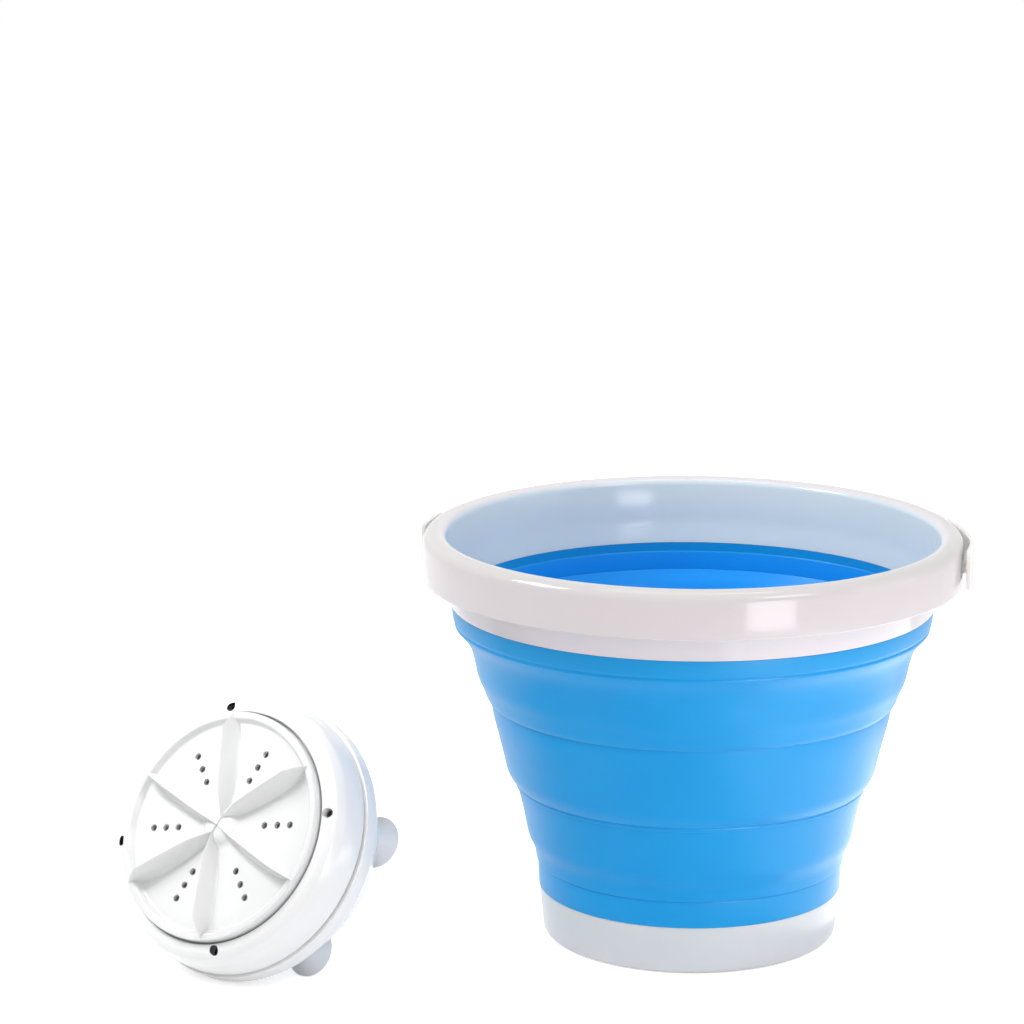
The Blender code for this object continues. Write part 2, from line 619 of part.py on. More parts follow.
def make_front_cover(axis):
    """The housing's front: impeller recess, hub boss, shoulder with its screw wells, and tongue."""
    bush_bore = BUSH_RADIUS + SEAT_GAP
    seal_bore = SEAL_RADIUS + SEAT_GAP
    tongue_outer = COVER_RADIUS - TONGUE_THICKNESS
    inner = COVER_RADIUS - HOUSING_WALL
    outline = [(bush_bore, DECK_Z - HUB_BOSS_DROP), (HUB_BOSS_RADIUS, DECK_Z - HUB_BOSS_DROP)]
    outline += [(HUB_BOSS_RADIUS, DECK_Z), (inner - HOUSING_WALL, DECK_Z)]
    outline += [(inner, DECK_Z - 2 * HOUSING_WALL), (inner, COVER_BOTTOM_Z - TONGUE_LENGTH)]
    outline += [(tongue_outer, COVER_BOTTOM_Z - TONGUE_LENGTH), (tongue_outer, COVER_BOTTOM_Z)]
    outline += reversed(shoulder_line())
    outline += [(RECESS_RADIUS, COVER_TOP_Z - HOUSING_WALL / 2), (RECESS_RADIUS, RECESS_Z)]
    outline += [(HUB_BOSS_RADIUS, RECESS_Z), (HUB_BOSS_RADIUS, RECESS_Z + HUB_BOSS_RISE)]
    outline += [(seal_bore, RECESS_Z + HUB_BOSS_RISE), (seal_bore, RECESS_Z), (bush_bore, RECESS_Z)]
    cover = finished("front_cover", turned(outline), "white_abs", parent=axis)
    places = ring_of(SCREW_COUNT, SCREW_CIRCLE_RADIUS, SCREW_TURN)
    well_floor = DECK_Z + WELL_FLOOR_RISE
    tie = HOUSING_WALL / 2
    bosses = [rod(SCREW_BOSS_RADIUS, SCREW_JOINT_Z, DECK_Z + tie, FINE_STEPS) for _ in places]
    join(cover, "screw_bosses", together(shifted(b, x, y) for b, (x, y) in zip(bosses, places)))
    wells = [rod(WELL_RADIUS, well_floor, COVER_TOP_Z + CUT_OVERRUN, FINE_STEPS) for _ in places]
    cut(cover, "screw_wells", together(shifted(w, x, y) for w, (x, y) in zip(wells, places)))
    bores = [rod(SCREW_RADIUS + SEAT_GAP, SCREW_JOINT_Z - CUT_OVERRUN, well_floor + tie) for _ in places]
    cut(cover, "screw_bores", together(shifted(b, x, y) for b, (x, y) in zip(bores, places)))
    posts, pilots = [], []
    for radius, angle in PLATE_POSTS:
        x, y = at_angle(radius, angle)
        posts.append(shifted(rod(PLATE_POST_RADIUS, GEAR_PLATE_TOP_Z + SEAT_GAP, DECK_Z + tie), x, y))
        depth = PLATE_SCREW_LENGTH - GEAR_PLATE_THICKNESS + SEAT_GAP
        pilot = rod(PLATE_SCREW_RADIUS + SEAT_GAP, GEAR_PLATE_TOP_Z - CUT_OVERRUN, GEAR_PLATE_TOP_Z + depth)
        pilots.append(shifted(pilot, x, y))
    join(cover, "plate_posts", together(posts))
    x, y = idler_place()
    socket = rod(IDLER_PIN_RADIUS + SEAT_GAP, DECK_Z - CUT_OVERRUN, DECK_Z + HOUSING_WALL / 2)
    cut(cover, "plate_pilots", together(pilots + [shifted(socket, x, y)]))
    return cover


def back_taper():
    """How far the back cover's side leans out, as an angle from its axis."""
    return atan2(EDGE_RADIUS - BACK_FACE_RADIUS, BACK_TAPER_HEIGHT)


def back_cone_radius(z):
    """Outer radius of the back cover's tapered side at a height."""
    return BACK_FACE_RADIUS + (z - BACK_FACE_Z) * tan(back_taper())


def board_stakes():
    """Where the two stakes stand that carry the control board."""
    offset = BOARD_LENGTH / 2 - BOARD_STAKE_INSET
    return [(BOARD_X - offset, BOARD_Y), (BOARD_X + offset, BOARD_Y)]


def gland_matrix():
    """From the gland's own axis to its place square on the back cover's tapered side."""
    mid_z = BACK_FACE_Z + BACK_TAPER_HEIGHT / 2
    place = Matrix.Translation((back_cone_radius(mid_z), 0, mid_z))
    place = place @ Matrix.Rotation(pi / 2 + back_taper(), 4, "Y")
    return Matrix.Rotation(GLAND_DIRECTION, 4, "Z") @ place


def make_back_cover(axis):
    """The housing's back: a ring that takes the tongue, a tapered side, and the floor with its fittings."""
    tongue_outer = COVER_RADIUS - TONGUE_THICKNESS
    socket = tongue_outer + SEAT_GAP
    ledge_z = COVER_BOTTOM_Z - TONGUE_LENGTH - SEAL_HEIGHT - 2 * SEAT_GAP
    ledge_inner = socket - HOUSING_WALL
    inward = HOUSING_WALL / cos(back_taper())
    kink_z = BACK_FACE_Z + (ledge_inner + inward - BACK_FACE_RADIUS) / tan(back_taper())
    outline = [(0, BACK_FACE_Z), (BACK_FACE_RADIUS, BACK_FACE_Z), (EDGE_RADIUS, EDGE_Z)]
    outline += [(EDGE_RADIUS, RING_TOP_Z - RING_CHAMFER), (EDGE_RADIUS - RING_CHAMFER, RING_TOP_Z)]
    outline += [(socket, RING_TOP_Z), (socket, ledge_z), (ledge_inner, ledge_z)]
    outline += [(ledge_inner, kink_z), (back_cone_radius(FLOOR_Z) - inward, FLOOR_Z), (0, FLOOR_Z)]
    cover = finished("back_cover", turned(outline), "white_abs", parent=axis)
    tie = HOUSING_WALL / 2
    post_bottom = BACK_FACE_Z + BACK_TAPER_HEIGHT * SCREW_POST_FOOT_SHARE
    places = ring_of(SCREW_COUNT, SCREW_CIRCLE_RADIUS, SCREW_TURN)
    posts = [rod(SCREW_POST_RADIUS, post_bottom, SCREW_JOINT_Z - SEAT_GAP, FINE_STEPS) for _ in places]
    posts = [shifted(p, x, y) for p, (x, y) in zip(posts, places)]
    board_z = FLOOR_Z + BOARD_RISE
    for x, y in board_stakes():
        posts.append(shifted(rod(BOARD_POST_RADIUS, FLOOR_Z - tie, board_z - SEAT_GAP), x, y))
    join(cover, "posts", together(posts))
    stakes = []
    for x, y in board_stakes():
        stake = rod(BOARD_STAKE_RADIUS, FLOOR_Z, board_z + BOARD_THICKNESS + BOARD_STAKE_RADIUS)
        stakes.append(shifted(stake, x, y))
    join(cover, "board_stakes", together(stakes))
    screw_tip = DECK_Z + WELL_FLOOR_RISE + SEAT_GAP - SCREW_LENGTH
    pilots = [rod(SCREW_RADIUS + SEAT_GAP, screw_tip - SEAT_GAP, SCREW_JOINT_Z + CUT_OVERRUN) for _ in places]
    pilots = [shifted(p, x, y) for p, (x, y) in zip(pilots, places)]
    for x, y in ring_of(CUP_COUNT, CUP_CIRCLE_RADIUS, pi / 2):
        hole = rod(CUP_NECK_RADIUS + SEAT_GAP, BACK_FACE_Z - CUT_OVERRUN, FLOOR_Z + CUT_OVERRUN, FINE_STEPS)
        pilots.append(shifted(hole, x, y))
    reach = 2 * HOUSING_WALL
    pilots.append(moved(rod(GLAND_NECK_RADIUS + SEAT_GAP, -reach, reach, FINE_STEPS), gland_matrix()))
    cut(cover, "openings", together(pilots))
    return cover


def make_housing_seal(axis):
    """The ring that the front cover's tongue presses on the back cover's ledge."""
    outer = COVER_RADIUS - TONGUE_THICKNESS
    bottom = COVER_BOTTOM_Z - TONGUE_LENGTH - SEAL_HEIGHT - SEAT_GAP
    shape = tube(outer - TONGUE_THICKNESS, outer, bottom, bottom + SEAL_HEIGHT, ROUND_STEPS)
    finished("housing_seal", shape, "black_rubber", parent=axis)


def screw(radius, length, head_radius, head_height, steps=SMALL_STEPS):
    """A pan-head screw down -Z from the underside of its head, with a short point."""
    outline = [(0, -length), (radius / 2, -length), (radius, -length + radius), (radius, 0), (head_radius, 0)]
    outline += [(head_radius, head_height / 2), (head_radius * HEAD_CROWN_SHARE, head_height), (0, head_height)]
    return turned(outline, steps)


def cut_cross(head, index, top):
    """A cross recess in a screw's head, turned by a step for each screw as a hand leaves them."""
    bars = []
    for quarter in range(2):
        half_length, half_width = CROSS_LENGTH / 2, CROSS_WIDTH / 2
        bar = block((-half_length, -half_width, top - CROSS_DEPTH), (half_length, half_width, top + CUT_OVERRUN))
        bars.append(moved(bar, Matrix.Rotation(quarter * pi / 2 + index * CROSS_TURN, 4, "Z")))
    for number, bar in enumerate(bars):
        cut(head, f"{head.name}_cross_{number}", bar)


def make_case_screws(axis):
    seat = DECK_Z + WELL_FLOOR_RISE + SEAT_GAP
    for index, (x, y) in enumerate(ring_of(SCREW_COUNT, SCREW_CIRCLE_RADIUS, SCREW_TURN)):
        shape = screw(SCREW_RADIUS, SCREW_LENGTH, SCREW_HEAD_RADIUS, SCREW_HEAD_HEIGHT)
        head = finished(f"case_screw_{index + 1}", shape, "dark_steel", (x, y, seat), axis)
        cut_cross(head, index, SCREW_HEAD_HEIGHT)


def make_suction_cups(axis):
    flange_top = BACK_FACE_Z - SEAT_GAP
    neck_top = FLOOR_Z + SEAT_GAP
    head_top = neck_top + CUP_HEAD_HEIGHT
    waist = (CUP_LIP_RADIUS + CUP_FLANGE_RADIUS) / 2
    outline = [(0, head_top), (CUP_HEAD_RADIUS * CUP_HEAD_TAPER_SHARE, head_top)]
    outline += [(CUP_HEAD_RADIUS, neck_top), (CUP_NECK_RADIUS, neck_top), (CUP_NECK_RADIUS, flange_top)]
    outline += [(CUP_FLANGE_RADIUS, flange_top), (waist, flange_top / 2), (CUP_LIP_RADIUS, 0)]
    outline += [(CUP_LIP_RADIUS - CUP_LIP_WIDTH, 0), (CUP_FLANGE_RADIUS, CUP_HOLLOW_HEIGHT)]
    outline += [(0, CUP_HOLLOW_HEIGHT)]
    for index, (x, y) in enumerate(ring_of(CUP_COUNT, CUP_CIRCLE_RADIUS, pi / 2)):
        finished(f"suction_cup_{index + 1}", turned(outline, FINE_STEPS), "clear_rubber", (x, y, 0), axis)


def vane(inner_end, tip, shares=VANE_SHARES):
    """One slender ridge from its inner end to its tip: a lens in plan, a sharp crest, hollow sides."""
    start, end = Vector(inner_end), Vector(tip)
    along = (end - start).normalized()
    across = Vector((-along.y, along.x))
    plate_z = IMPELLER_TOP_Z - PLATE_DROP
    waist_out, waist_up = VANE_WAIST_SHARES
    rings = []
    for length_share, width_share, height_share in shares:
        spot = start + (end - start) * length_share
        foot = VANE_HALF_WIDTH * width_share
        crest = VANE_CREST_HALF_WIDTH
        waist = crest + (foot - crest) * waist_out
        height = VANE_HEIGHT * height_share
        half = [(foot, -VANE_ROOT), (foot, 0), (waist, height * waist_up), (crest, height)]
        flat = half + [(-out, up) for out, up in reversed(half)]
        rings.append([(*(spot + across * out), plate_z + up) for out, up in flat])
    return lofted(rings)


def make_impeller(axis):
    """The pulsator: a dished plate with a raised rim, six vanes, and rows of holes between them."""
    top = IMPELLER_TOP_Z
    plate = top - PLATE_DROP
    under = plate - PLATE_THICKNESS
    skirt = under - RIM_SKIRT_DROP
    lip_inner = IMPELLER_RADIUS - RIM_LIP_WIDTH
    insert_bore = INSERT_RADIUS + SEAT_GAP
    insert_top = under + INSERT_HEIGHT + 2 * SEAT_GAP
    outline = [(0, under), (IMPELLER_RADIUS - RIM_SKIRT_WALL, under), (IMPELLER_RADIUS - RIM_SKIRT_WALL, skirt)]
    outline += [(IMPELLER_RADIUS, skirt), (IMPELLER_RADIUS, top - RIM_EDGE_ROUND)]
    outline += [(IMPELLER_RADIUS - RIM_EDGE_ROUND, top), (lip_inner, top)]
    outline += [(lip_inner - RIM_LIP_SLOPE, plate), (HUB_RADIUS, plate)]
    outline += [(HUB_RADIUS * out, plate + HUB_HEIGHT * up) for out, up in HUB_SHARES]
    impeller = finished("impeller", turned(outline), "white_abs", (0, 0, 0), axis)
    step = 2 * pi / VANE_COUNT
    ridge = VANE_TURN + step / 2
    for index in range(VANE_COUNT):
        angle = VANE_TURN + step * index
        side = cos(angle - ridge)
        inner_end = at_angle(VANE_INNER_RADIUS * side, ridge)
        join(impeller, f"vane_{index + 1}", vane(inner_end, at_angle(VANE_TIP_RADIUS, angle)))
    ends = [at_angle(side * VANE_INNER_RADIUS, ridge) for side in (-1, 1)]
    join(impeller, "hub_ridge", vane(*ends, HUB_RIDGE_SHARES))
    holes = [rod(insert_bore, under - CUT_OVERRUN, insert_top, FINE_STEPS)]
    for inset in HOLE_CIRCLE_INSETS:
        for x, y in ring_of(VANE_COUNT, IMPELLER_RADIUS - inset, VANE_TURN + step / 2):
            holes.append(shifted(rod(HOLE_RADIUS, under - CUT_OVERRUN, plate + CUT_OVERRUN), x, y))
    cut(impeller, "holes", together(holes))
    return impeller


def make_output_shaft(axis):
    under = IMPELLER_TOP_Z - PLATE_DROP - PLATE_THICKNESS
    bottom = GEAR_PLATE_Z + SHAFT_BOTTOM_RISE
    top = under + INSERT_HEIGHT
    finished("output_shaft", rod(SHAFT_RADIUS, bottom, top, FINE_STEPS), "steel", parent=axis)
    bore = SHAFT_RADIUS + SEAT_GAP
    insert = tube(bore, INSERT_RADIUS, under + SEAT_GAP, under + SEAT_GAP + INSERT_HEIGHT, FINE_STEPS)
    finished("impeller_insert", insert, "brass", parent=axis)


def make_shaft_supports(axis):
    """Two bronze bushes and the lip seal, which stay with the housing."""
    bore = SHAFT_RADIUS + SEAT_GAP
    front = tube(bore, BUSH_RADIUS, DECK_Z - HUB_BOSS_DROP, RECESS_Z - SEAT_GAP, FINE_STEPS)
    finished("front_bush", front, "brass", parent=axis)
    rear = tube(bore, BUSH_RADIUS, GEAR_PLATE_Z + SEAT_GAP, GEAR_PLATE_TOP_Z + SEAT_GAP, FINE_STEPS)
    finished("rear_bush", rear, "brass", parent=axis)
    seal_top = RECESS_Z + HUB_BOSS_RISE - SEAT_GAP
    outline = [(bore, RECESS_Z + SEAT_GAP), (SEAL_RADIUS, RECESS_Z + SEAT_GAP), (SEAL_RADIUS, seal_top)]
    outline += [(bore + (SEAL_RADIUS - bore) / 2, seal_top), (bore, seal_top - SEAT_GAP)]
    finished("shaft_seal", turned(outline, FINE_STEPS), "black_rubber", parent=axis)


def gear(teeth, bottom, top, turn):
    """A spur gear whose first tooth is centred on the angle turn, its flanks straight from root to tip."""
    pitch = teeth * MODULE / 2
    base = pitch * cos(PRESSURE_ANGLE)
    at_pitch = tan(PRESSURE_ANGLE) - PRESSURE_ANGLE
    half_tooth = (pi / 2 - BACKLASH_SHARE) / teeth + at_pitch
    root = pitch - DEDENDUM_SHARE * MODULE
    tip = pitch + ADDENDUM_SHARE * MODULE
    line = []
    for radius in (root, tip):
        pressure = acos(base / max(base, radius))
        line.append((radius, half_tooth - (tan(pressure) - pressure)))
    around = []
    for index in range(teeth):
        centre = turn + 2 * pi * index / teeth
        around += [at_angle(radius, centre - half) for radius, half in line]
        around += [at_angle(radius, centre + half) for radius, half in reversed(line)]
    wheel = bmesh.new()
    rim = wheel.faces.new([wheel.verts.new((x, y, bottom)) for x, y in around])
    raised = bmesh.ops.extrude_face_region(wheel, geom=[rim], use_keep_orig=True)
    lifted = [item for item in raised["geom"] if isinstance(item, bmesh.types.BMVert)]
    bmesh.ops.translate(wheel, vec=(0, 0, top - bottom), verts=lifted)
    return wheel


def idler_place():
    return at_angle((OUTPUT_TEETH + IDLER_PINION_TEETH) * MODULE / 2, IDLER_DIRECTION)


def motor_place():
    x, y = idler_place()
    dx, dy = at_angle((IDLER_WHEEL_TEETH + MOTOR_TEETH) * MODULE / 2, MOTOR_DIRECTION)
    return x + dx, y + dy


def facing_gap(direction, teeth):
    """The turn of a gear that has a gap where the gear before it, in that direction, has a tooth."""
    return direction + pi + pi / teeth


def make_gears(axis):
    """Motor pinion, two-stage idler and output gear, in mesh at rest."""
    bore = SHAFT_RADIUS + SEAT_GAP
    output_top = OUTPUT_Z + OUTPUT_THICKNESS
    wheel = gear(OUTPUT_TEETH, OUTPUT_Z, output_top, IDLER_DIRECTION)
    output = finished("output_gear", wheel, "gear_nylon", parent=axis)
    hub_bottom = GEAR_PLATE_TOP_Z + 2 * SEAT_GAP
    join(output, "output_hub", rod(OUTPUT_HUB_RADIUS, hub_bottom, OUTPUT_Z + STAGE_STEP, FINE_STEPS))
    cut(output, "output_bore", rod(bore, hub_bottom - CUT_OVERRUN, output_top + CUT_OVERRUN, FINE_STEPS))

    place = (*idler_place(), 0)
    pin_bore = IDLER_PIN_RADIUS + SEAT_GAP
    wheel_top = WHEEL_Z + WHEEL_THICKNESS
    wheel = gear(IDLER_WHEEL_TEETH, WHEEL_Z, wheel_top, MOTOR_DIRECTION)
    idler = finished("idler_gear", wheel, "gear_nylon", place, axis)
    turn = facing_gap(IDLER_DIRECTION, IDLER_PINION_TEETH)
    join(idler, "idler_pinion", gear(IDLER_PINION_TEETH, WHEEL_Z + WHEEL_THICKNESS / 2, output_top, turn))
    cut(idler, "idler_bore", rod(pin_bore, WHEEL_Z - CUT_OVERRUN, output_top + CUT_OVERRUN))
    pin_top = DECK_Z + HOUSING_WALL / 2 - SEAT_GAP
    pin = rod(IDLER_PIN_RADIUS, GEAR_PLATE_Z + SEAT_GAP, pin_top)
    finished("idler_pin", pin, "steel", place, axis)

    place = (*motor_place(), 0)
    turn = facing_gap(MOTOR_DIRECTION, MOTOR_TEETH)
    shaft_bore = MOTOR_SHAFT_RADIUS + SEAT_GAP
    pinion = finished("motor_pinion", gear(MOTOR_TEETH, WHEEL_Z, wheel_top, turn), "brass", place, axis)
    cut(pinion, "pinion_bore", rod(shaft_bore, WHEEL_Z - CUT_OVERRUN, wheel_top + CUT_OVERRUN))
    shaft_bottom = GEAR_PLATE_Z - SEAT_GAP - MOTOR_SHAFT_SINK
    shaft = rod(MOTOR_SHAFT_RADIUS, shaft_bottom, wheel_top + SEAT_GAP)
    finished("motor_shaft", shaft, "steel", place, axis)


def motor_screw_places():
    """Either side of the motor's axis, square to the line that joins it to the idler."""
    x, y = motor_place()
    places = []
    for side in (-1, 1):
        dx, dy = at_angle(MOTOR_SCREW_CIRCLE_RADIUS, MOTOR_DIRECTION + side * pi / 2)
        places.append((x + dx, y + dy))
    return places


def make_gear_plate(axis):
    """The plate that carries the motor, idler pin and rear bush: one outline round all its posts."""
    shape = bmesh.new()
    spots = [(*at_angle(radius, angle), GEAR_PLATE_EDGE) for radius, angle in PLATE_POSTS]
    spots.append((*motor_place(), MOTOR_RADIUS))
    spots.append((*idler_place(), GEAR_PLATE_EDGE))
    for x, y, radius in spots:
        for height in (GEAR_PLATE_Z, GEAR_PLATE_TOP_Z):
            for dx, dy in ring_of(SMALL_STEPS, radius, 0):
                shape.verts.new((x + dx, y + dy, height))
    hull = bmesh.ops.convex_hull(shape, input=shape.verts)
    spare = [item for item in hull["geom_interior"] if isinstance(item, bmesh.types.BMVert)]
    bmesh.ops.delete(shape, geom=spare, context="VERTS")
    bmesh.ops.dissolve_limit(shape, angle_limit=radians(1), verts=shape.verts, edges=shape.edges)
    plate = finished("gear_plate", shape, "steel", parent=axis)
    low = GEAR_PLATE_Z - CUT_OVERRUN
    high = GEAR_PLATE_TOP_Z + CUT_OVERRUN
    holes = [rod(BUSH_RADIUS + SEAT_GAP, low, high, FINE_STEPS)]
    holes.append(shifted(rod(MOTOR_NOSE_RADIUS + SEAT_GAP, low, high, FINE_STEPS), *motor_place()))
    holes.append(shifted(rod(IDLER_PIN_RADIUS + SEAT_GAP, low, high), *idler_place()))
    for radius, angle in PLATE_POSTS:
        holes.append(shifted(rod(PLATE_SCREW_RADIUS + SEAT_GAP, low, high), *at_angle(radius, angle)))
    for x, y in motor_screw_places():
        holes.append(shifted(rod(MOTOR_SCREW_RADIUS + SEAT_GAP, low, high), x, y))
    cut(plate, "plate_holes", together(holes))


def make_plate_screws(axis):
    for index, (radius, angle) in enumerate(PLATE_POSTS):
        shape = screw(PLATE_SCREW_RADIUS, PLATE_SCREW_LENGTH, PLATE_SCREW_HEAD_RADIUS, PLATE_SCREW_HEAD_HEIGHT)
        shape = moved(shape, Matrix.Rotation(pi, 4, "X"))
        place = (*at_angle(radius, angle), GEAR_PLATE_Z - SEAT_GAP)
        head = finished(f"plate_screw_{index + 1}", shape, "steel", place, axis)
        half_length, half_width = CROSS_LENGTH / 2, CROSS_WIDTH / 2
        slot = block((-half_length, -half_width, -CUT_OVERRUN), (half_length, half_width, CROSS_DEPTH))
        cut(head, f"{head.name}_slot", shifted(slot, 0, 0, -PLATE_SCREW_HEAD_HEIGHT))


def make_motor(axis):
    top = GEAR_PLATE_Z - SEAT_GAP
    bottom = top - MOTOR_LENGTH
    nose = top + MOTOR_NOSE_HEIGHT
    chamfer = MOTOR_END_CHAMFER
    shaft_bore = MOTOR_SHAFT_RADIUS + SEAT_GAP
    bore_floor = top - MOTOR_SHAFT_SINK - SEAT_GAP
    outline = [(0, bottom), (MOTOR_RADIUS - chamfer, bottom), (MOTOR_RADIUS, bottom + chamfer)]
    outline += [(MOTOR_RADIUS, top), (MOTOR_NOSE_RADIUS, top), (MOTOR_NOSE_RADIUS, nose)]
    outline += [(shaft_bore, nose), (shaft_bore, bore_floor), (0, bore_floor)]
    x, y = motor_place()
    motor = finished("motor", turned(outline, FINE_STEPS), "steel", (x, y, 0), axis)
    holes = []
    for sx, sy in motor_screw_places():
        depth = MOTOR_SCREW_LENGTH - GEAR_PLATE_THICKNESS
        hole = rod(MOTOR_SCREW_RADIUS + SEAT_GAP, top - depth, top + CUT_OVERRUN)
        holes.append(shifted(hole, sx - x, sy - y))
    cut(motor, "motor_screw_holes", together(holes))
    for index, (sx, sy) in enumerate(motor_screw_places()):
        shape = screw(MOTOR_SCREW_RADIUS, MOTOR_SCREW_LENGTH, MOTOR_SCREW_HEAD_RADIUS, MOTOR_SCREW_HEAD_HEIGHT)
        place = (sx, sy, GEAR_PLATE_TOP_Z + SEAT_GAP)
        finished(f"motor_screw_{index + 1}", shape, "steel", place, axis)


def make_control_board(axis):
    bottom = FLOOR_Z + BOARD_RISE
    half_length, half_width = BOARD_LENGTH / 2, BOARD_WIDTH / 2
    shape = block((-half_length, -half_width, bottom), (half_length, half_width, bottom + BOARD_THICKNESS))
    board = finished("control_board", shape, "board_green", (BOARD_X, BOARD_Y, 0), axis)
    top = bottom + BOARD_THICKNESS
    inside = bottom + BOARD_THICKNESS / 2
    capacitor = rod(CAPACITOR_RADIUS, inside, top + CAPACITOR_HEIGHT)
    join(board, "capacitor", shifted(capacitor, -CAPACITOR_OFFSET, 0))
    chip = block((-CHIP_SIDE / 2, -CHIP_SIDE / 2, inside), (CHIP_SIDE / 2, CHIP_SIDE / 2, top + CHIP_HEIGHT))
    join(board, "chip", shifted(chip, CAPACITOR_OFFSET, 0))
    edge = half_width - BOARD_EDGE_INSET
    low = (-SOCKET_LENGTH / 2, edge - SOCKET_DEPTH, inside)
    join(board, "socket", block(low, (SOCKET_LENGTH / 2, edge, top + SOCKET_HEIGHT)))
    holes = []
    for x, y in board_stakes():
        hole = rod(BOARD_STAKE_RADIUS + SEAT_GAP, bottom - CUT_OVERRUN, top + CUT_OVERRUN)
        holes.append(shifted(hole, x - BOARD_X, y - BOARD_Y))
    cut(board, "stake_holes", together(holes))


def make_cable_gland(axis):
    """A grommet whose two flanges hold the wall between them, blind until a lead pierces its membrane."""
    outer_face = GLAND_LIP_GAP
    inner_face = -HOUSING_WALL - GLAND_LIP_GAP
    top = outer_face + GLAND_FLANGE_THICKNESS
    bottom = inner_face - GLAND_FLANGE_THICKNESS
    outline = [(0, bottom), (GLAND_FLANGE_RADIUS, bottom), (GLAND_FLANGE_RADIUS, inner_face)]
    outline += [(GLAND_NECK_RADIUS, inner_face), (GLAND_NECK_RADIUS, outer_face)]
    outline += [(GLAND_FLANGE_RADIUS, outer_face), (GLAND_NECK_RADIUS, top), (GLAND_MOUTH_RADIUS, top)]
    outline += [(GLAND_MOUTH_RADIUS, outer_face), (0, outer_face)]
    shape = moved(turned(outline, FINE_STEPS), gland_matrix())
    finished("cable_gland", shape, "black_rubber", parent=axis)


def make_bucket():
    make_base_shell()
    make_lower_wall()
    make_lower_fold()
    make_middle_wall()
    make_upper_fold()
    make_upper_wall()
    make_collar()
    make_handle()


def make_washer():
    axis = washer_axis()
    make_front_cover(axis)
    make_back_cover(axis)
    make_housing_seal(axis)
    make_case_screws(axis)
    make_suction_cups(axis)
    make_impeller(axis)
    make_output_shaft(axis)
    make_shaft_supports(axis)
    make_gears(axis)
    make_gear_plate(axis)
    make_plate_screws(axis)
    make_motor(axis)
    make_control_board(axis)
    make_cable_gland(axis)


clear_scene()
make_bucket()
make_washer()
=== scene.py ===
# %% [markdown]
# # A portable washing machine
#
# The object is a set of two. The bucket is a folding tub: a stiff white rim and base with a soft
# blue wall between them, and a thin bail handle that lies round the back of the rim. The washer is
# a glossy white disc that is pressed onto the tub's floor with suction cups and stirs the water
# with a vaned plate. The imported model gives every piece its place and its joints. This lesson
# dresses it: each piece that shows is modelled again with smooth surfaces and rounded edges at
# exactly the same place, and gets the material that it has in reality.

import json
from math import asin, atan2, cos, pi, radians, sin

import bmesh
import bpy
from mathutils import Matrix, Vector


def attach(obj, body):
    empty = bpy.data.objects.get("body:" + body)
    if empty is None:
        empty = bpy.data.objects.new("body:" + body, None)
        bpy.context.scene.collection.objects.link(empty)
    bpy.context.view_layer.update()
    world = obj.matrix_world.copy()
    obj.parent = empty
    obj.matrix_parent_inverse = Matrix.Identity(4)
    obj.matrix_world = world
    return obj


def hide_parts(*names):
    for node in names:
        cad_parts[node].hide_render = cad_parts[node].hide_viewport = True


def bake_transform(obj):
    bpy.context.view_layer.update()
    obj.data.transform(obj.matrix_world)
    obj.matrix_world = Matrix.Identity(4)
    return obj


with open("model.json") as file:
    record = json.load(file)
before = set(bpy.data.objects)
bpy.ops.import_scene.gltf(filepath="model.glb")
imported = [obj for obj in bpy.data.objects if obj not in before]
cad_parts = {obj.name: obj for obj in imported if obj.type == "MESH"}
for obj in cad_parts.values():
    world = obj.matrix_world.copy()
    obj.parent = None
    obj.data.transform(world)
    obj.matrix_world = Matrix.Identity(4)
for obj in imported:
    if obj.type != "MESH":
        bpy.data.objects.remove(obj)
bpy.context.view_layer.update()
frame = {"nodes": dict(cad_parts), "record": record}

# %% [markdown]
# ## Turned pieces
#
# Nearly every piece here is turned: a tub, a cover, a cup, a screw. On the real ones each corner of
# the mould is rounded by its own amount, and those small roundings are what catches the light. So
# an outline is a list of corners, each with its radius from the axis, its height and how far its
# rounding reaches, all in millimetres. The bevel operator rounds the corners one by one, and spin
# turns the outline into a solid.

# %% An outline and its solid of revolution
MM = 0.001
FINE, MEDIUM, SMALL = 192, 96, 48
CORNER_SEGMENTS = 5
WELD_DISTANCE = 1e-7
CRISP_ANGLE, SOFT_ANGLE = 30, 50


def outline(corners, closed=True):
    """A wire through (radius, height, rounding) corners, as a bmesh."""
    wire = bmesh.new()
    points = [wire.verts.new((r * MM, 0, z * MM)) for r, z, _ in corners]
    following = points[1:] + points[:1] if closed else points[1:]
    for here, there in zip(points, following):
        wire.edges.new((here, there))
    for point, (_, _, rounding) in zip(points, corners):
        if rounding:
            bmesh.ops.bevel(
                wire, geom=[point], offset=rounding * MM, offset_type="OFFSET",
                affect="VERTICES", segments=CORNER_SEGMENTS, profile=0.5, material=-1,
            )
    return wire


def turn(corners, steps, closed=True):
    """The solid that an outline sweeps round the Z axis. An open outline ends on the axis twice."""
    solid = outline(corners, closed)
    bmesh.ops.spin(
        solid, geom=solid.verts[:] + solid.edges[:], cent=(0, 0, 0), axis=(0, 0, 1),
        angle=2 * pi, steps=steps, use_merge=True,
    )
    bmesh.ops.remove_doubles(solid, verts=solid.verts, dist=WELD_DISTANCE)
    bmesh.ops.recalc_face_normals(solid, faces=solid.faces)
    return solid


def to_mesh_object(name, solid, sharp=CRISP_ANGLE):
    """Makes the bmesh an object, smooth except across edges sharper than this many degrees."""
    mesh = bpy.data.meshes.new(name)
    solid.to_mesh(mesh)
    solid.free()
    mesh.shade_smooth()
    mesh.set_sharp_from_angle(angle=radians(sharp))
    piece = bpy.data.objects.new(name, mesh)
    bpy.context.scene.collection.objects.link(piece)
    return piece


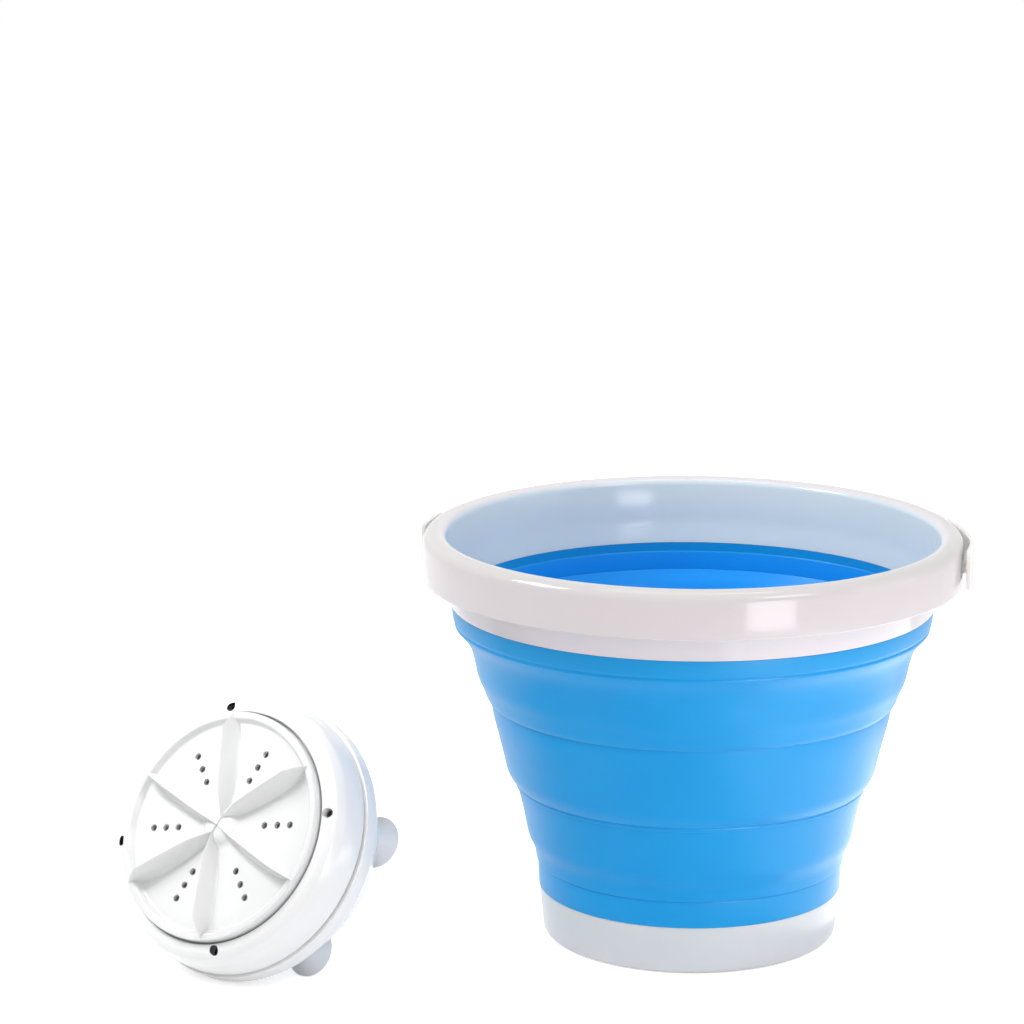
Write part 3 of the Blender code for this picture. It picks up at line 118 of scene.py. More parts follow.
print("steps round the axis:", FINE, MEDIUM, SMALL)

# %% [markdown]
# ## Holes and joined forms
#
# Holes, wells, posts and the vanes of the impeller need one solid cut from another or joined to it.
# A Boolean modifier does this, and its result is applied at once, because a finished piece keeps no
# helper objects. Most helpers are plain round rods. Each is made on the Z axis and then carried to
# its place by a matrix, and places on a circle are such matrices too.

# %% Join, cut, and rods on a circle
def combine(piece, helpers, operation, sharp=CRISP_ANGLE):
    """Joins the helpers to the piece, or cuts them away, and removes them."""
    for helper in helpers:
        modifier = piece.modifiers.new(helper.name, "BOOLEAN")
        modifier.operation = operation
        modifier.object = helper
        modifier.solver = "EXACT"
    graph = bpy.context.evaluated_depsgraph_get()
    result = bpy.data.meshes.new_from_object(piece.evaluated_get(graph))
    piece.modifiers.clear()
    old, piece.data = piece.data, result
    bpy.data.meshes.remove(old)
    for helper in helpers:
        mesh = helper.data
        bpy.data.objects.remove(helper)
        bpy.data.meshes.remove(mesh)
    result.name = piece.name
    result.shade_smooth()
    result.set_sharp_from_angle(angle=radians(sharp))


def turned_object(name, corners, steps, place):
    """A solid turned from an open outline and carried to its place, as an object."""
    solid = turn(corners, steps, closed=False)
    bmesh.ops.transform(solid, matrix=place, verts=solid.verts)
    return to_mesh_object(name, solid)


def rod(name, radius, low, high, place):
    """A plain round rod from low to high along its own axis, in millimetres."""
    corners = [(0, low, 0), (radius, low, 0), (radius, high, 0), (0, high, 0)]
    return turned_object(name, corners, SMALL, place)


def around(count, radius, start):
    """The places of this many pieces on a circle, as matrices."""
    turns = [start + 2 * pi * n / count for n in range(count)]
    return [Matrix.Translation((radius * cos(a) * MM, radius * sin(a) * MM, 0)) for a in turns]


print("helpers ready:", ", ".join(f.__name__ for f in (combine, turned_object, rod, around)))

# %% [markdown]
# ## Helpers for materials
#
# Colours are easiest to judge as the hex values of a screen, and the shader wants linear light, so
# one function converts them. Another adds a node with its settings and its links, which keeps each
# material below down to the few lines that matter. A pattern on object coordinates counts in
# metres, so its scale follows from the size in millimetres that its forms have in reality.

# %% Colour, nodes and the scale of a pattern
SRGB_KNEE, SRGB_SLOPE, SRGB_OFFSET, SRGB_POWER = 0.04045, 12.92, 0.055, 2.4
WHITE = (1, 1, 1, 1)


def linear(hex_colour):
    """An sRGB hex colour as linear RGBA."""
    channels = [int(hex_colour[n:n + 2], 16) / 255 for n in (1, 3, 5)]
    return [
        c / SRGB_SLOPE if c <= SRGB_KNEE else ((c + SRGB_OFFSET) / (1 + SRGB_OFFSET)) ** SRGB_POWER
        for c in channels
    ] + [1]


def feed(node, **inputs):
    """Sets a node's inputs, or links them from sockets. A _ stands for a space, n6 for input 6."""
    for name, value in inputs.items():
        numbered = name[0] == "n" and name[1:].isdigit()
        socket = node.inputs[int(name[1:]) if numbered else name.replace("_", " ")]
        if isinstance(value, bpy.types.NodeSocket):
            node.id_data.links.new(value, socket)
        else:
            socket.default_value = value


def add_node(owner, kind, settings=None, **inputs):
    """Adds a node to a material or a world, with its settings and its inputs."""
    node = owner.node_tree.nodes.new(kind)
    for name, value in (settings or {}).items():
        setattr(node, name, value)
    feed(node, **inputs)
    return node


def pattern_scale(millimetres):
    """The scale at which a pattern's forms are this large."""
    return 1 / (millimetres * MM)


def start_material(name):
    """An empty material with a Principled shader, and the object coordinates of its patterns."""
    material = bpy.data.materials.new(name)
    material.use_nodes = True
    shader = material.node_tree.nodes["Principled BSDF"]
    place = add_node(material, "ShaderNodeTexCoord").outputs["Object"]
    return material, shader, place


print("mid grey #808080 is", round(linear("#808080")[0], 3), "in linear light")

# %% [markdown]
# ## Natural polypropylene
#
# The rim, the base and the handle are injection-moulded polypropylene, hardly pigmented. It isn't
# opaque: light goes a few millimetres in and comes out softened. On the rim the colour also holds
# painted light by position. The single wall inside the mouth has a cool tint, a painted reflection
# of the blue wall below it. The same wall seen from outside is neutral. The top is a darker grey as
# painted shade, and the skirt in front of it, with a shaded channel behind, is a little darker and
# warmer as painted shade. The inner and outer faces of that wall are cones, so the colour follows
# the radius that such a cone has at the rim's foot. The moulded skin is glossy with a very slow
# ripple, which bends the edges of reflections.

# %% Polypropylene
FOOT_HEIGHT, DRAFT = 197.0, 0.119
ZONES_START, ZONES_WIDTH = 130, 30


def polypropylene(name, stops, roughness, **softness):
    """Natural PP. Its stops are (mm from the axis at the rim's foot, colour), inside first."""
    material, shader, place = start_material(name)
    apart = add_node(material, "ShaderNodeSeparateXYZ", Vector=place)
    flat = add_node(
        material, "ShaderNodeCombineXYZ", X=apart.outputs["X"], Y=apart.outputs["Y"], Z=0.0
    )
    radius = add_node(
        material, "ShaderNodeVectorMath", {"operation": "LENGTH"}, n0=flat.outputs["Vector"]
    )
    lean = add_node(
        material, "ShaderNodeMath", {"operation": "MULTIPLY_ADD"}, n0=apart.outputs["Z"],
        n1=-DRAFT, n2=DRAFT * FOOT_HEIGHT * MM,
    )
    reach = add_node(
        material, "ShaderNodeMath", {"operation": "ADD"}, n0=radius.outputs["Value"],
        n1=lean.outputs["Value"],
    )
    share = add_node(
        material, "ShaderNodeMapRange", Value=reach.outputs["Value"],
        From_Min=ZONES_START * MM, From_Max=(ZONES_START + ZONES_WIDTH) * MM,
    )
    # Colour by position: on the rim it holds a painted reflection and painted shade.
    colour_with_painted_light = add_node(material, "ShaderNodeValToRGB", Fac=share.outputs["Result"])
    elements = colour_with_painted_light.color_ramp.elements
    while len(elements) < len(stops):
        elements.new(0.5)
    while len(elements) > len(stops):
        elements.remove(elements[-1])
    for element, (distance, hex_colour) in zip(elements, stops):
        element.position = (distance - ZONES_START) / ZONES_WIDTH
        element.color = linear(hex_colour)
    cloud = add_node(
        material, "ShaderNodeTexNoise", Vector=place, Scale=pattern_scale(71.43), Detail=2.0,
        Roughness=0.5,
    )
    shade = add_node(
        material, "ShaderNodeMapRange", Value=cloud.outputs["Fac"], To_Min=0.975, To_Max=1.025
    )
    cloudy = add_node(
        material, "ShaderNodeHueSaturation", Color=colour_with_painted_light.outputs["Color"],
        Value=shade.outputs["Result"],
    )
    gloss = add_node(
        material, "ShaderNodeMapRange", Value=cloud.outputs["Fac"], To_Min=roughness - 0.05,
        To_Max=roughness + 0.05,
    )
    ripple = add_node(
        material, "ShaderNodeTexNoise", Vector=place, Scale=pattern_scale(18.18), Detail=1.0
    )
    bump = add_node(
        material, "ShaderNodeBump", Height=ripple.outputs["Fac"], Strength=0.12, Distance=0.6 * MM
    )
    feed(
        shader, Base_Color=cloudy.outputs["Color"], Roughness=gloss.outputs["Result"],
        Normal=bump.outputs["Normal"], IOR=1.49, Specular_IOR_Level=0.4,
        Subsurface_Weight=0.2, Subsurface_Radius=(0.9, 1.0, 1.1), Subsurface_Scale=4 * MM,
    )
    feed(shader, **softness)
    return material


# Rim stops: a cool painted reflection inside; the darker top and the warm skirt are painted shade.
rim_pp = polypropylene("polypropylene rim", [
    (137.3, "#DCE7E8"), (138.4, "#E0DAE0"), (143.0, "#CBCBC9"), (151.0, "#D4CDCF"),
], roughness=0.1)
base_pp = polypropylene("polypropylene base", [(ZONES_START, "#D0D3D5")], roughness=0.3)
bail_pp = polypropylene(
    "polypropylene bail", [(ZONES_START, "#E2DFD8")], roughness=0.3, Subsurface_Weight=0.8,
    Subsurface_Scale=12 * MM,
)
print("polypropylene:", rim_pp.name, base_pp.name, bail_pp.name)

# %% [markdown]
# ## Thermoplastic rubber
#
# The wall is soft thermoplastic rubber, moulded onto the rim and the base in one shot. It is deeply
# coloured and satin, never mirror-glossy: a fine spark-eroded grain on the mould spreads each
# reflection into a pale haze, and a little sheen lifts the sides, where the eye grazes the grain.
# The real grain is about 0.1 mm and would not show, so it is drawn at 0.5 mm with a very low bump.
# A few specks of dust up to 2 mm across cling to it, as to all such rubber. The inside is given a
# purer and lighter blue: painted light, since little light reaches into the tub.

# %% Blue wall
DUST_SPACING, SPECK_CORE, SPECK_EDGE = 41.67, 0.016, 0.028


def wall_rubber(name, deep_hex, pale_hex):
    """Satin rubber of two close blues. A speck's core and edge are shares of the dust's spacing."""
    material, shader, place = start_material(name)
    patches = add_node(
        material, "ShaderNodeTexNoise", Vector=place, Scale=pattern_scale(55.56), Detail=3.0,
        Roughness=0.55,
    )
    colour = add_node(
        material, "ShaderNodeMix", {"data_type": "RGBA"}, Factor=patches.outputs["Fac"],
        n6=linear(deep_hex), n7=linear(pale_hex),
    )
    dust = add_node(
        material, "ShaderNodeTexVoronoi", {"feature": "F1"}, Vector=place,
        Scale=pattern_scale(DUST_SPACING), Randomness=1.0,
    )
    speck = add_node(
        material, "ShaderNodeMapRange", Value=dust.outputs["Distance"], From_Min=SPECK_CORE,
        From_Max=SPECK_EDGE, To_Min=0.5, To_Max=0.0,
    )
    dusty = add_node(
        material, "ShaderNodeMix", {"data_type": "RGBA"}, Factor=speck.outputs["Result"],
        n6=colour.outputs[2], n7=linear("#CFE6FA"),
    )
    gloss = add_node(
        material, "ShaderNodeMapRange", Value=patches.outputs["Fac"], To_Min=0.40, To_Max=0.50
    )
    grain = add_node(
        material, "ShaderNodeTexNoise", Vector=place, Scale=pattern_scale(0.5), Detail=2.0
    )
    sag = add_node(
        material, "ShaderNodeTexNoise", Vector=place, Scale=pattern_scale(25), Detail=1.0
    )
    fine = add_node(
        material, "ShaderNodeBump", Height=grain.outputs["Fac"], Strength=0.08, Distance=0.2 * MM
    )
    slow = add_node(
        material, "ShaderNodeBump", Height=sag.outputs["Fac"], Strength=0.25, Distance=1.2 * MM,
        Normal=fine.outputs["Normal"],
    )
    feed(
        shader, Base_Color=dusty.outputs[2], Roughness=gloss.outputs["Result"],
        Normal=slow.outputs["Normal"], IOR=1.5, Specular_IOR_Level=0.14,
        Coat_Weight=0.16, Coat_Roughness=0.26, Sheen_Weight=0.18, Sheen_Roughness=0.42,
        Subsurface_Weight=0.08, Subsurface_Radius=(0.3, 0.7, 1.2), Subsurface_Scale=3 * MM,
    )
    return material


blue_rubber = wall_rubber("thermoplastic rubber blue", "#0092D6", "#0C9CDE")
# The inside's purer, lighter blue is painted light: little light reaches inside the tub.
blue_inside_painted_lighter = wall_rubber("thermoplastic rubber inside", "#0594EC", "#129EF2")
print("rubber:", blue_rubber.name, blue_inside_painted_lighter.name)

# %% [markdown]
# ## Glossy ABS
#
# The washer's two covers and its impeller are white ABS from a polished mould. Apart from its gloss
# it has hardly any texture: what the eye reads is the shading of the form, the sharp edges, and
# shallow sink marks opposite the ribs inside, which are drawn as a slow low bump.

# %% White covers
def gloss_abs(name, hex_colour, shade_hex):
    """Polished ABS of two close whites."""
    material, shader, place = start_material(name)
    tone = add_node(
        material, "ShaderNodeTexNoise", Vector=place, Scale=pattern_scale(50), Detail=2.0
    )
    colour = add_node(
        material, "ShaderNodeMix", {"data_type": "RGBA"}, Factor=tone.outputs["Fac"],
        n6=linear(hex_colour), n7=linear(shade_hex),
    )
    gloss = add_node(
        material, "ShaderNodeMapRange", Value=tone.outputs["Fac"], To_Min=0.14, To_Max=0.24
    )
    sink = add_node(
        material, "ShaderNodeTexNoise", Vector=place, Scale=pattern_scale(14.29), Detail=1.0
    )
    bump = add_node(
        material, "ShaderNodeBump", Height=sink.outputs["Fac"], Strength=0.06, Distance=0.5 * MM
    )
    feed(
        shader, Base_Color=colour.outputs[2], Roughness=gloss.outputs["Result"],
        Normal=bump.outputs["Normal"], IOR=1.53,
    )
    return material


cover_abs = gloss_abs("ABS cover", "#EAEAEA", "#E6E7E7")
impeller_abs = gloss_abs("ABS impeller", "#DFDFDF", "#DBDCDC")
print("ABS:", cover_abs.name, impeller_abs.name)

# %% [markdown]
# ## Small parts
#
# The screws are blackened steel: a thin oxide that keeps some metallic shine and wears a little.
# The suction cups are milky soft rubber, the seals and the gland carbon-filled black rubber. Inside
# the housing are bare metal, natural nylon gears and a circuit board. Nobody sees those until the
# housing is opened, but each still gets its own finish, so that a cut-away view of the model holds
# up. They differ only in colour, gloss and grain, so one function makes them all.

# %% Metals, rubbers and the inner parts
def plain_finish(name, hex_colour, other_hex, metallic, roughness, mottle, bump, **more):
    """Two close tones with matching gloss. The mottle's size and the bump are in millimetres."""
    material, shader, place = start_material(name)
    mottling = add_node(
        material, "ShaderNodeTexNoise", Vector=place, Scale=pattern_scale(mottle), Detail=3.0
    )
    colour = add_node(
        material, "ShaderNodeMix", {"data_type": "RGBA"}, Factor=mottling.outputs["Fac"],
        n6=linear(hex_colour), n7=linear(other_hex),
    )
    gloss = add_node(
        material, "ShaderNodeMapRange", Value=mottling.outputs["Fac"], To_Min=roughness * 0.8,
        To_Max=roughness * 1.2,
    )
    relief = add_node(
        material, "ShaderNodeBump", Height=mottling.outputs["Fac"], Strength=0.2,
        Distance=bump * MM,
    )
    feed(
        shader, Base_Color=colour.outputs[2], Roughness=gloss.outputs["Result"],
        Normal=relief.outputs["Normal"], Metallic=metallic,
    )
    feed(shader, **more)
    return material


black_oxide = plain_finish(
    "steel black oxide", "#3C3C3F", "#58585C", metallic=1.0, roughness=0.32, mottle=1.111, bump=0.05
)
milky_rubber = plain_finish(
    "silicone milky", "#DDE3E6", "#CFD7DC", metallic=0.0, roughness=0.35, mottle=16.67, bump=0.05,
    IOR=1.41, Subsurface_Weight=0.4, Subsurface_Scale=4 * MM,
)
black_rubber = plain_finish(
    "rubber carbon black", "#1B1B1C", "#262627", metallic=0.0, roughness=0.55, mottle=2.0,
    bump=0.08, IOR=1.5,
)
zinc_steel = plain_finish(
    "steel zinc plated", "#B9BCC0", "#A4A8AE", metallic=1.0, roughness=0.3, mottle=3.333, bump=0.04
)
turned_brass = plain_finish(
    "brass turned", "#C9A25A", "#B08A45", metallic=1.0, roughness=0.28, mottle=2.5, bump=0.04
)
gear_nylon = plain_finish(
    "nylon natural", "#E4E0D2", "#D8D3C2", metallic=0.0, roughness=0.42, mottle=8.333, bump=0.05,
    IOR=1.5,
)
board_resin = plain_finish(
    "board solder mask", "#0F5B33", "#0B4A29", metallic=0.0, roughness=0.35, mottle=2.857,
    bump=0.05, IOR=1.5,
)
print("small finishes: 7")

# %% [markdown]
# ## The base of the tub
#
# The base is a shallow bowl with a slight draft, so that it leaves its mould. Its top edge is
# stepped, and the rubber was moulded over that step, so the two are flush outside. Below it has a
# foot ring round a recessed panel, which keeps it from rocking. Like the other dressed pieces it is
# given its material and the body that it rides on, and the imported node that it stands for is
# hidden.

# %% Base
def dress(piece, material, body, node):
    """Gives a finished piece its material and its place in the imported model."""
    piece.data.materials.clear()
    piece.data.materials.append(material)
    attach(piece, body)
    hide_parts(node)


base = to_mesh_object("tub_base", turn([
    (0, 0, 0), (30, 0, 0.6), (31, 1, 0.5), (72, 1, 0.5), (73, 0, 0.6), (84.8, 0, 3.6),
    (87.5, 28.3, 0.25), (86.4, 28.3, 0), (86.4, 33.0, 0.3), (85.3, 33.0, 0.3), (82.6, 2.8, 2.5),
    (0, 2.8, 0),
], FINE, closed=False))
dress(base, base_pp, "bucket_base", "base_shell")
print("base:", len(base.data.polygons), "faces")

# %% [markdown]
# ## The folding wall
#
# The wall is one soft moulding with four hinge lines. Between them are stiffer bands and two panels
# that roll over when the tub is pushed down. Each ring starts with a small bead, goes through a
# rounded shoulder and on as a gentle cone, and at the bead the light draws a thin line. The outside
# of a ring is a short list of corners, and its inside is the same list moved in by the wall. The
# lowest and the highest band are keyed into the base and the rim, so their sections are written out
# whole. Bands ride on their bodies. The panels are left where they are made, on no body. Faces that
# look inwards get a lighter blue, painted light, up to the line under the rim where the wall meets
# its collar; above that line they keep the deeper outside blue, as painted shade.

# %% Wall bands and panels
WALL = 2.0
HINGE_GAP = 0.02
BASE_HINGE, LOWER_HINGE, UPPER_HINGE, RIM_HINGE = 44.0, 89.0, 140.0, 184.0
COLLAR_LINE = 194.4


def both_sides(outside):
    """A closed section from its outside corners, bottom to top."""
    return outside + [(r - WALL, z, rounding) for r, z, rounding in reversed(outside)]


def wall_ring(name, section, node):
    """One ring of the wall, blue outside and inside a lighter blue that is painted light."""
    ring = to_mesh_object(name, turn(section, FINE), sharp=SOFT_ANGLE)
    ring.data.materials.append(blue_rubber)
    ring.data.materials.append(blue_inside_painted_lighter)
    # Inside, lighter blue below the collar line is painted light; deeper blue above is painted
    # shade.
    for face in ring.data.polygons:
        inward = face.normal.x * face.center.x + face.normal.y * face.center.y < 0
        if inward and face.center.z < COLLAR_LINE * MM:
            face.material_index = 1
    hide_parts(node)
    return ring


lower_band = wall_ring("wall_lower_band", [
    (86.5, 28.35, 0), (87.75, 28.35, 0.4), (88.4, 43.3, 0.3), (88.2, BASE_HINGE - HINGE_GAP, 0.2),
    (86.6, BASE_HINGE - HINGE_GAP, 0.2), (85.6, 33.3, 0), (86.5, 33.3, 0),
], "lower_wall")
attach(lower_band, "bucket_base")

lower_panel = wall_ring("wall_lower_panel", both_sides([
    (89.1, BASE_HINGE + HINGE_GAP, 0.5), (89.4, 45.4, 0.6), (90.4, 51.5, 2.5), (94.3, 59.5, 3.0),
    (97.4, 76.0, 5.0), (100.2, 86.5, 1.5), (100.75, LOWER_HINGE - HINGE_GAP, 0.2),
]), "lower_fold")
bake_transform(lower_panel)

middle_band = wall_ring("wall_middle_band", both_sides([
    (101.6, LOWER_HINGE + HINGE_GAP, 0.5), (102.0, 90.6, 0.5), (101.7, 91.2, 0.3),
    (103.2, 92.6, 1.0), (106.4, 97.5, 3.0), (110.2, 114.0, 5.0), (115.0, 132.5, 4.0),
    (116.0, UPPER_HINGE - HINGE_GAP, 0.3),
]), "middle_wall")
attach(middle_band, "middle_ring")

upper_panel = wall_ring("wall_upper_panel", both_sides([
    (116.9, UPPER_HINGE + HINGE_GAP, 0.5), (118.4, 142.2, 1.0), (120.8, 148.6, 2.5),
    (123.6, 154.5, 3.0), (126.3, 168.0, 4.0), (129.4, 176.0, 3.5), (134.6, 182.2, 2.0),
    (135.9, RIM_HINGE - HINGE_GAP, 0.2),
]), "upper_fold")
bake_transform(upper_panel)

upper_band = wall_ring("wall_upper_band", [
    (134.2, RIM_HINGE + HINGE_GAP, 0.2), (136.7, RIM_HINGE + HINGE_GAP, 0.5), (136.9, 185.6, 0.5),
    (136.5, 186.2, 0.3), (137.6, 187.6, 0.9), (138.8, 196.9, 0.25), (137.6, 196.9, 0),
    (137.6, 200.0, 0), (136.5, 200.0, 0.3), (136.3, COLLAR_LINE + 0.5, 0.3),
    (135.8, COLLAR_LINE, 0.3),
], "upper_wall")
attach(upper_band, "rim")
wall_rings = (lower_band, lower_panel, middle_band, upper_panel, upper_band)
print("wall:", [len(ring.data.polygons) for ring in wall_rings])

# %% [markdown]
# ## The rim
#
# The rim is a hollow channel that is open below: a wall inside, a broad rounded top to lift by, and
# a skirt outside. The outline runs once round the whole section, so that the wall is the same all
# over, as in any moulding. The handle's pegs go through two holes in the skirt, on an axis that is
# turned ten degrees. The holes are cut by rods that lie on that axis.

# %% Rim
BAIL_AXIS_HEIGHT, BAIL_AXIS_TURN = 225.2, -10
BAIL_AXIS = Matrix.Translation((0, 0, BAIL_AXIS_HEIGHT * MM))
BAIL_AXIS = BAIL_AXIS @ Matrix.Rotation(radians(BAIL_AXIS_TURN), 4, "Z")
PEG_HOLE_RADIUS, PEG_HOLE_START, PEG_HOLE_END = 4.3, 150.5, 160
SIDES = {"left": -1, "right": 1}


def across_axis(side):
    """From a piece turned about Z to the same piece on the handle's axis, at its left or right."""
    return BAIL_AXIS @ Matrix.Rotation(SIDES[side] * pi / 2, 4, "Y")


rim = to_mesh_object("tub_rim", turn([
    (136.5, 200.2, 0), (137.8, 200.2, 0), (137.8, 197.0, 0), (138.9, 197.0, 0.35),
    (141.2, 213.0, 2.0), (143.6, 236.8, 2.6), (152.8, 236.8, 5.0), (152.8, 212.4, 0.5),
    (155.0, 212.4, 0.8), (155.0, 239.0, 6.6), (141.7, 239.0, 4.2), (139.0, 213.0, 3.0),
], FINE), sharp=SOFT_ANGLE)
peg_holes = [
    rod("peg_hole_" + side, PEG_HOLE_RADIUS, PEG_HOLE_START, PEG_HOLE_END, across_axis(side))
    for side in SIDES
]
combine(rim, peg_holes, "DIFFERENCE", sharp=SOFT_ANGLE)
dress(rim, rim_pp, "rim", "collar")
print("rim:", len(rim.data.polygons), "faces")

# %% [markdown]
# ## The bail handle
#
# The handle is a thin flat band bent round the back of the rim, wider at its two ears, with a peg
# inside each ear that snaps through the skirt. A closed section spun through half a turn gives the
# bend. Its end faces are then extruded straight past the axis, the band's height is scaled up
# towards the ears, and the pegs are joined on. It has a millimetre of side play, and it lies to the
# right in it, so that the right ear stands off the rim and shows a dark gap. A bevel takes the edge
# off all round.

# %% Handle
BAIL_INNER, BAIL_THICK, BAIL_HEIGHT = 156.8, 2.6, 18.0
EAR_HEIGHT, EAR_END, EAR_REACH, EAR_STEPS = 22.6, 9.0, 18.0, 3
PLAY = 1.2
EDGE_ROUNDING, EDGE_SEGMENTS, EDGE_ANGLE = 0.6, 3, 40
END_FACING = 0.99

section = bmesh.new()
bmesh.ops.create_grid(section, x_segments=1, y_segments=1, size=0.5)
bmesh.ops.scale(section, vec=(BAIL_THICK * MM, BAIL_HEIGHT * MM, 1), verts=section.verts)
bmesh.ops.rotate(
    section, verts=section.verts, cent=(0, 0, 0), matrix=Matrix.Rotation(pi / 2, 3, "X")
)
bmesh.ops.translate(
    section, verts=section.verts, vec=((BAIL_INNER + BAIL_THICK / 2) * MM, 0, 0)
)
bmesh.ops.spin(
    section, geom=section.verts[:] + section.edges[:] + section.faces[:], cent=(0, 0, 0),
    axis=(0, 0, 1), angle=pi, steps=MEDIUM, use_merge=False,
)
end_faces = [
    face for face in section.faces
    if abs(face.normal.y) > END_FACING and abs(face.calc_center_median().y) < MM
]
for ear in end_faces:
    for _ in range(EAR_STEPS):
        pushed = bmesh.ops.extrude_discrete_faces(section, faces=[ear])
        ear = pushed["faces"][0]
        bmesh.ops.translate(section, verts=ear.verts, vec=(0, -EAR_END * MM / EAR_STEPS, 0))
for point in section.verts:
    sine = max(-1.0, min(1.0, point.co.y / ((BAIL_INNER + BAIL_THICK) * MM)))
    along = max(0.0, asin(sine) * BAIL_INNER)
    fade = min(1.0, max(0.0, (along - EAR_REACH) / EAR_REACH))
    widened = EAR_HEIGHT + (BAIL_HEIGHT - EAR_HEIGHT) * fade * fade * (3 - 2 * fade)
    point.co.z *= widened / BAIL_HEIGHT
bmesh.ops.recalc_face_normals(section, faces=section.faces)
bmesh.ops.transform(
    section, matrix=BAIL_AXIS @ Matrix.Translation((PLAY * MM, 0, 0)), verts=section.verts
)
bail = to_mesh_object("bail", section)
print("bail without pegs:", len(bail.data.polygons), "faces")

# %% [markdown]
# A peg is a short shaft with a barbed head inside the skirt. It is turned like the rest, carried
# onto the handle's axis and joined to its ear. The bevel is left as a modifier.

# %% Pegs
PEG_CORNERS = [
    (0, 148.1, 0), (4.4, 148.1, 0.4), (5.4, 150.1, 0.2), (4, 150.1, 0), (4, 158.1, 0),
    (0, 158.1, 0),
]
pegs = []
for side, sign in SIDES.items():
    peg_place = across_axis(side) @ Matrix.Translation((0, 0, sign * PLAY * MM))
    pegs.append(turned_object("peg_" + side, PEG_CORNERS, SMALL, peg_place))
combine(bail, pegs, "UNION")
rounded = bail.modifiers.new("moulded edges", "BEVEL")
rounded.width = EDGE_ROUNDING * MM
rounded.segments = EDGE_SEGMENTS
rounded.limit_method = "ANGLE"
rounded.angle_limit = radians(EDGE_ANGLE)
dress(bail, bail_pp, "bail", "handle")
print("bail:", len(bail.data.polygons), "faces before its bevel")

# %% [markdown]
# ## Where the washer stands
#
# The washer is modelled along its own axis, from the lips of its suction cups at zero up to the
# impeller. It stands on the lowest point of its back cover's edge and on two cups, which gives its
# tilt: a right-angled triangle of the edge's height and of how much further out the edge is than
# the cups. One matrix then carries every finished mesh to its place, so that all objects stay at
# the origin.

# %% The washer's matrix
EDGE_RADIUS, EDGE_HEIGHT, CUP_CIRCLE, CUP_LIP = 80.5, 29.0, 61.1, 15.0
CUPS, CUP_START = 5, pi / 2
WASHER_X, WASHER_Y = -230, -52

tilt = atan2(EDGE_RADIUS - (CUP_CIRCLE * cos(pi / CUPS) + CUP_LIP), EDGE_HEIGHT)
facing = radians(34)
height = EDGE_RADIUS * cos(tilt) - EDGE_HEIGHT * sin(tilt)
out = Vector((-sin(facing) * cos(tilt), -cos(facing) * cos(tilt), sin(tilt)))
up = Vector((sin(facing) * sin(tilt), cos(facing) * sin(tilt), cos(tilt)))
WASHER = Matrix.Translation(Vector((WASHER_X, WASHER_Y, height)) * MM)
WASHER = WASHER @ Matrix((up.cross(out), up, out)).transposed().to_4x4()


def dress_washer(piece, material, body, node):
    """Carries a piece from the washer's own frame to its place, and dresses it."""
    piece.data.transform(WASHER)
    dress(piece, material, body, node)


print("washer: tilt", round(tilt * 180 / pi, 2), "degrees, height", round(height, 2), "mm")

# %% [markdown]
# ## The front cover
#
# The front cover is a drum with a wide soft shoulder and a shallow recess in which the impeller
# turns. A boss in its middle holds the shaft seal. Four screws are sunk into wells in the shoulder
# and reach down through posts. The wells are cut after turning, with fine cutters, and their edges
# stay crisp, as they do where a core pin meets the mould.

# %% Front cover
SCREWS, SCREW_CIRCLE, SCREW_START = 4, 70.8, radians(17.1)
POST_RADIUS, POST_FOOT, POST_TOP = 5.4, 47.5, 59
WELL_RADIUS, WELL_FLOOR, WELL_TOP = 2.85, 58.5, 70
BORE_RADIUS, BORE_FLOOR = 1.8, 40
screw_places = around(SCREWS, SCREW_CIRCLE, SCREW_START)

cover = to_mesh_object("housing_front", turn([
    (5.3, 56.6, 0), (10, 56.6, 0), (10, 57.5, 0), (74, 57.5, 2), (76.5, 52.5, 2), (76.5, 35, 0),
    (77.7, 35, 0.3), (77.7, 39.6, 0), (79, 39.6, 0.5), (79.0, 43.5, 2.5), (78.5, 51, 4),
    (77.2, 57.3, 4), (74.9, 61.7, 3.2), (71.4, 64.2, 2.4), (67.2, 64.6, 1.0), (67.2, 60, 0.4),
    (10, 60, 0.4), (10, 62.6, 0.4), (7.6, 62.6, 0.2), (7.6, 60, 0), (5.3, 60, 0),
], FINE))
posts, wells = [], []
for number, place in enumerate(screw_places):
    posts.append(rod(f"post_{number}", POST_RADIUS, POST_FOOT, POST_TOP, place))
    wells.append(rod(f"well_{number}", WELL_RADIUS, WELL_FLOOR, WELL_TOP, place))
    wells.append(rod(f"screw_bore_{number}", BORE_RADIUS, BORE_FLOOR, POST_TOP, place))
combine(cover, posts, "UNION")
combine(cover, wells, "DIFFERENCE")
dress_washer(cover, cover_abs, "washer_housing", "front_cover")
print("front cover:", len(cover.data.polygons), "faces")

# %% [markdown]
# ## The back cover
#
# The back cover has a slightly larger ring, which makes the visible groove between the two, and
# tapers to a smaller flat back, where the cups sit. Its bottom edge is the one that carries the
# washer here. The gland's hole is square to the taper.

# %% Back cover
BACK_RADIUS, BACK_HEIGHT = 68, 9
GLAND_RADIUS, GLAND_HEIGHT = 74.25, 19
CUP_HOLE_RADIUS, CUP_HOLE_START, CUP_HOLE_END = 3.5, 6, 14
GLAND_HOLE_RADIUS, GLAND_HOLE_HALF = 4.8, 6
cup_places = around(CUPS, CUP_CIRCLE, CUP_START)

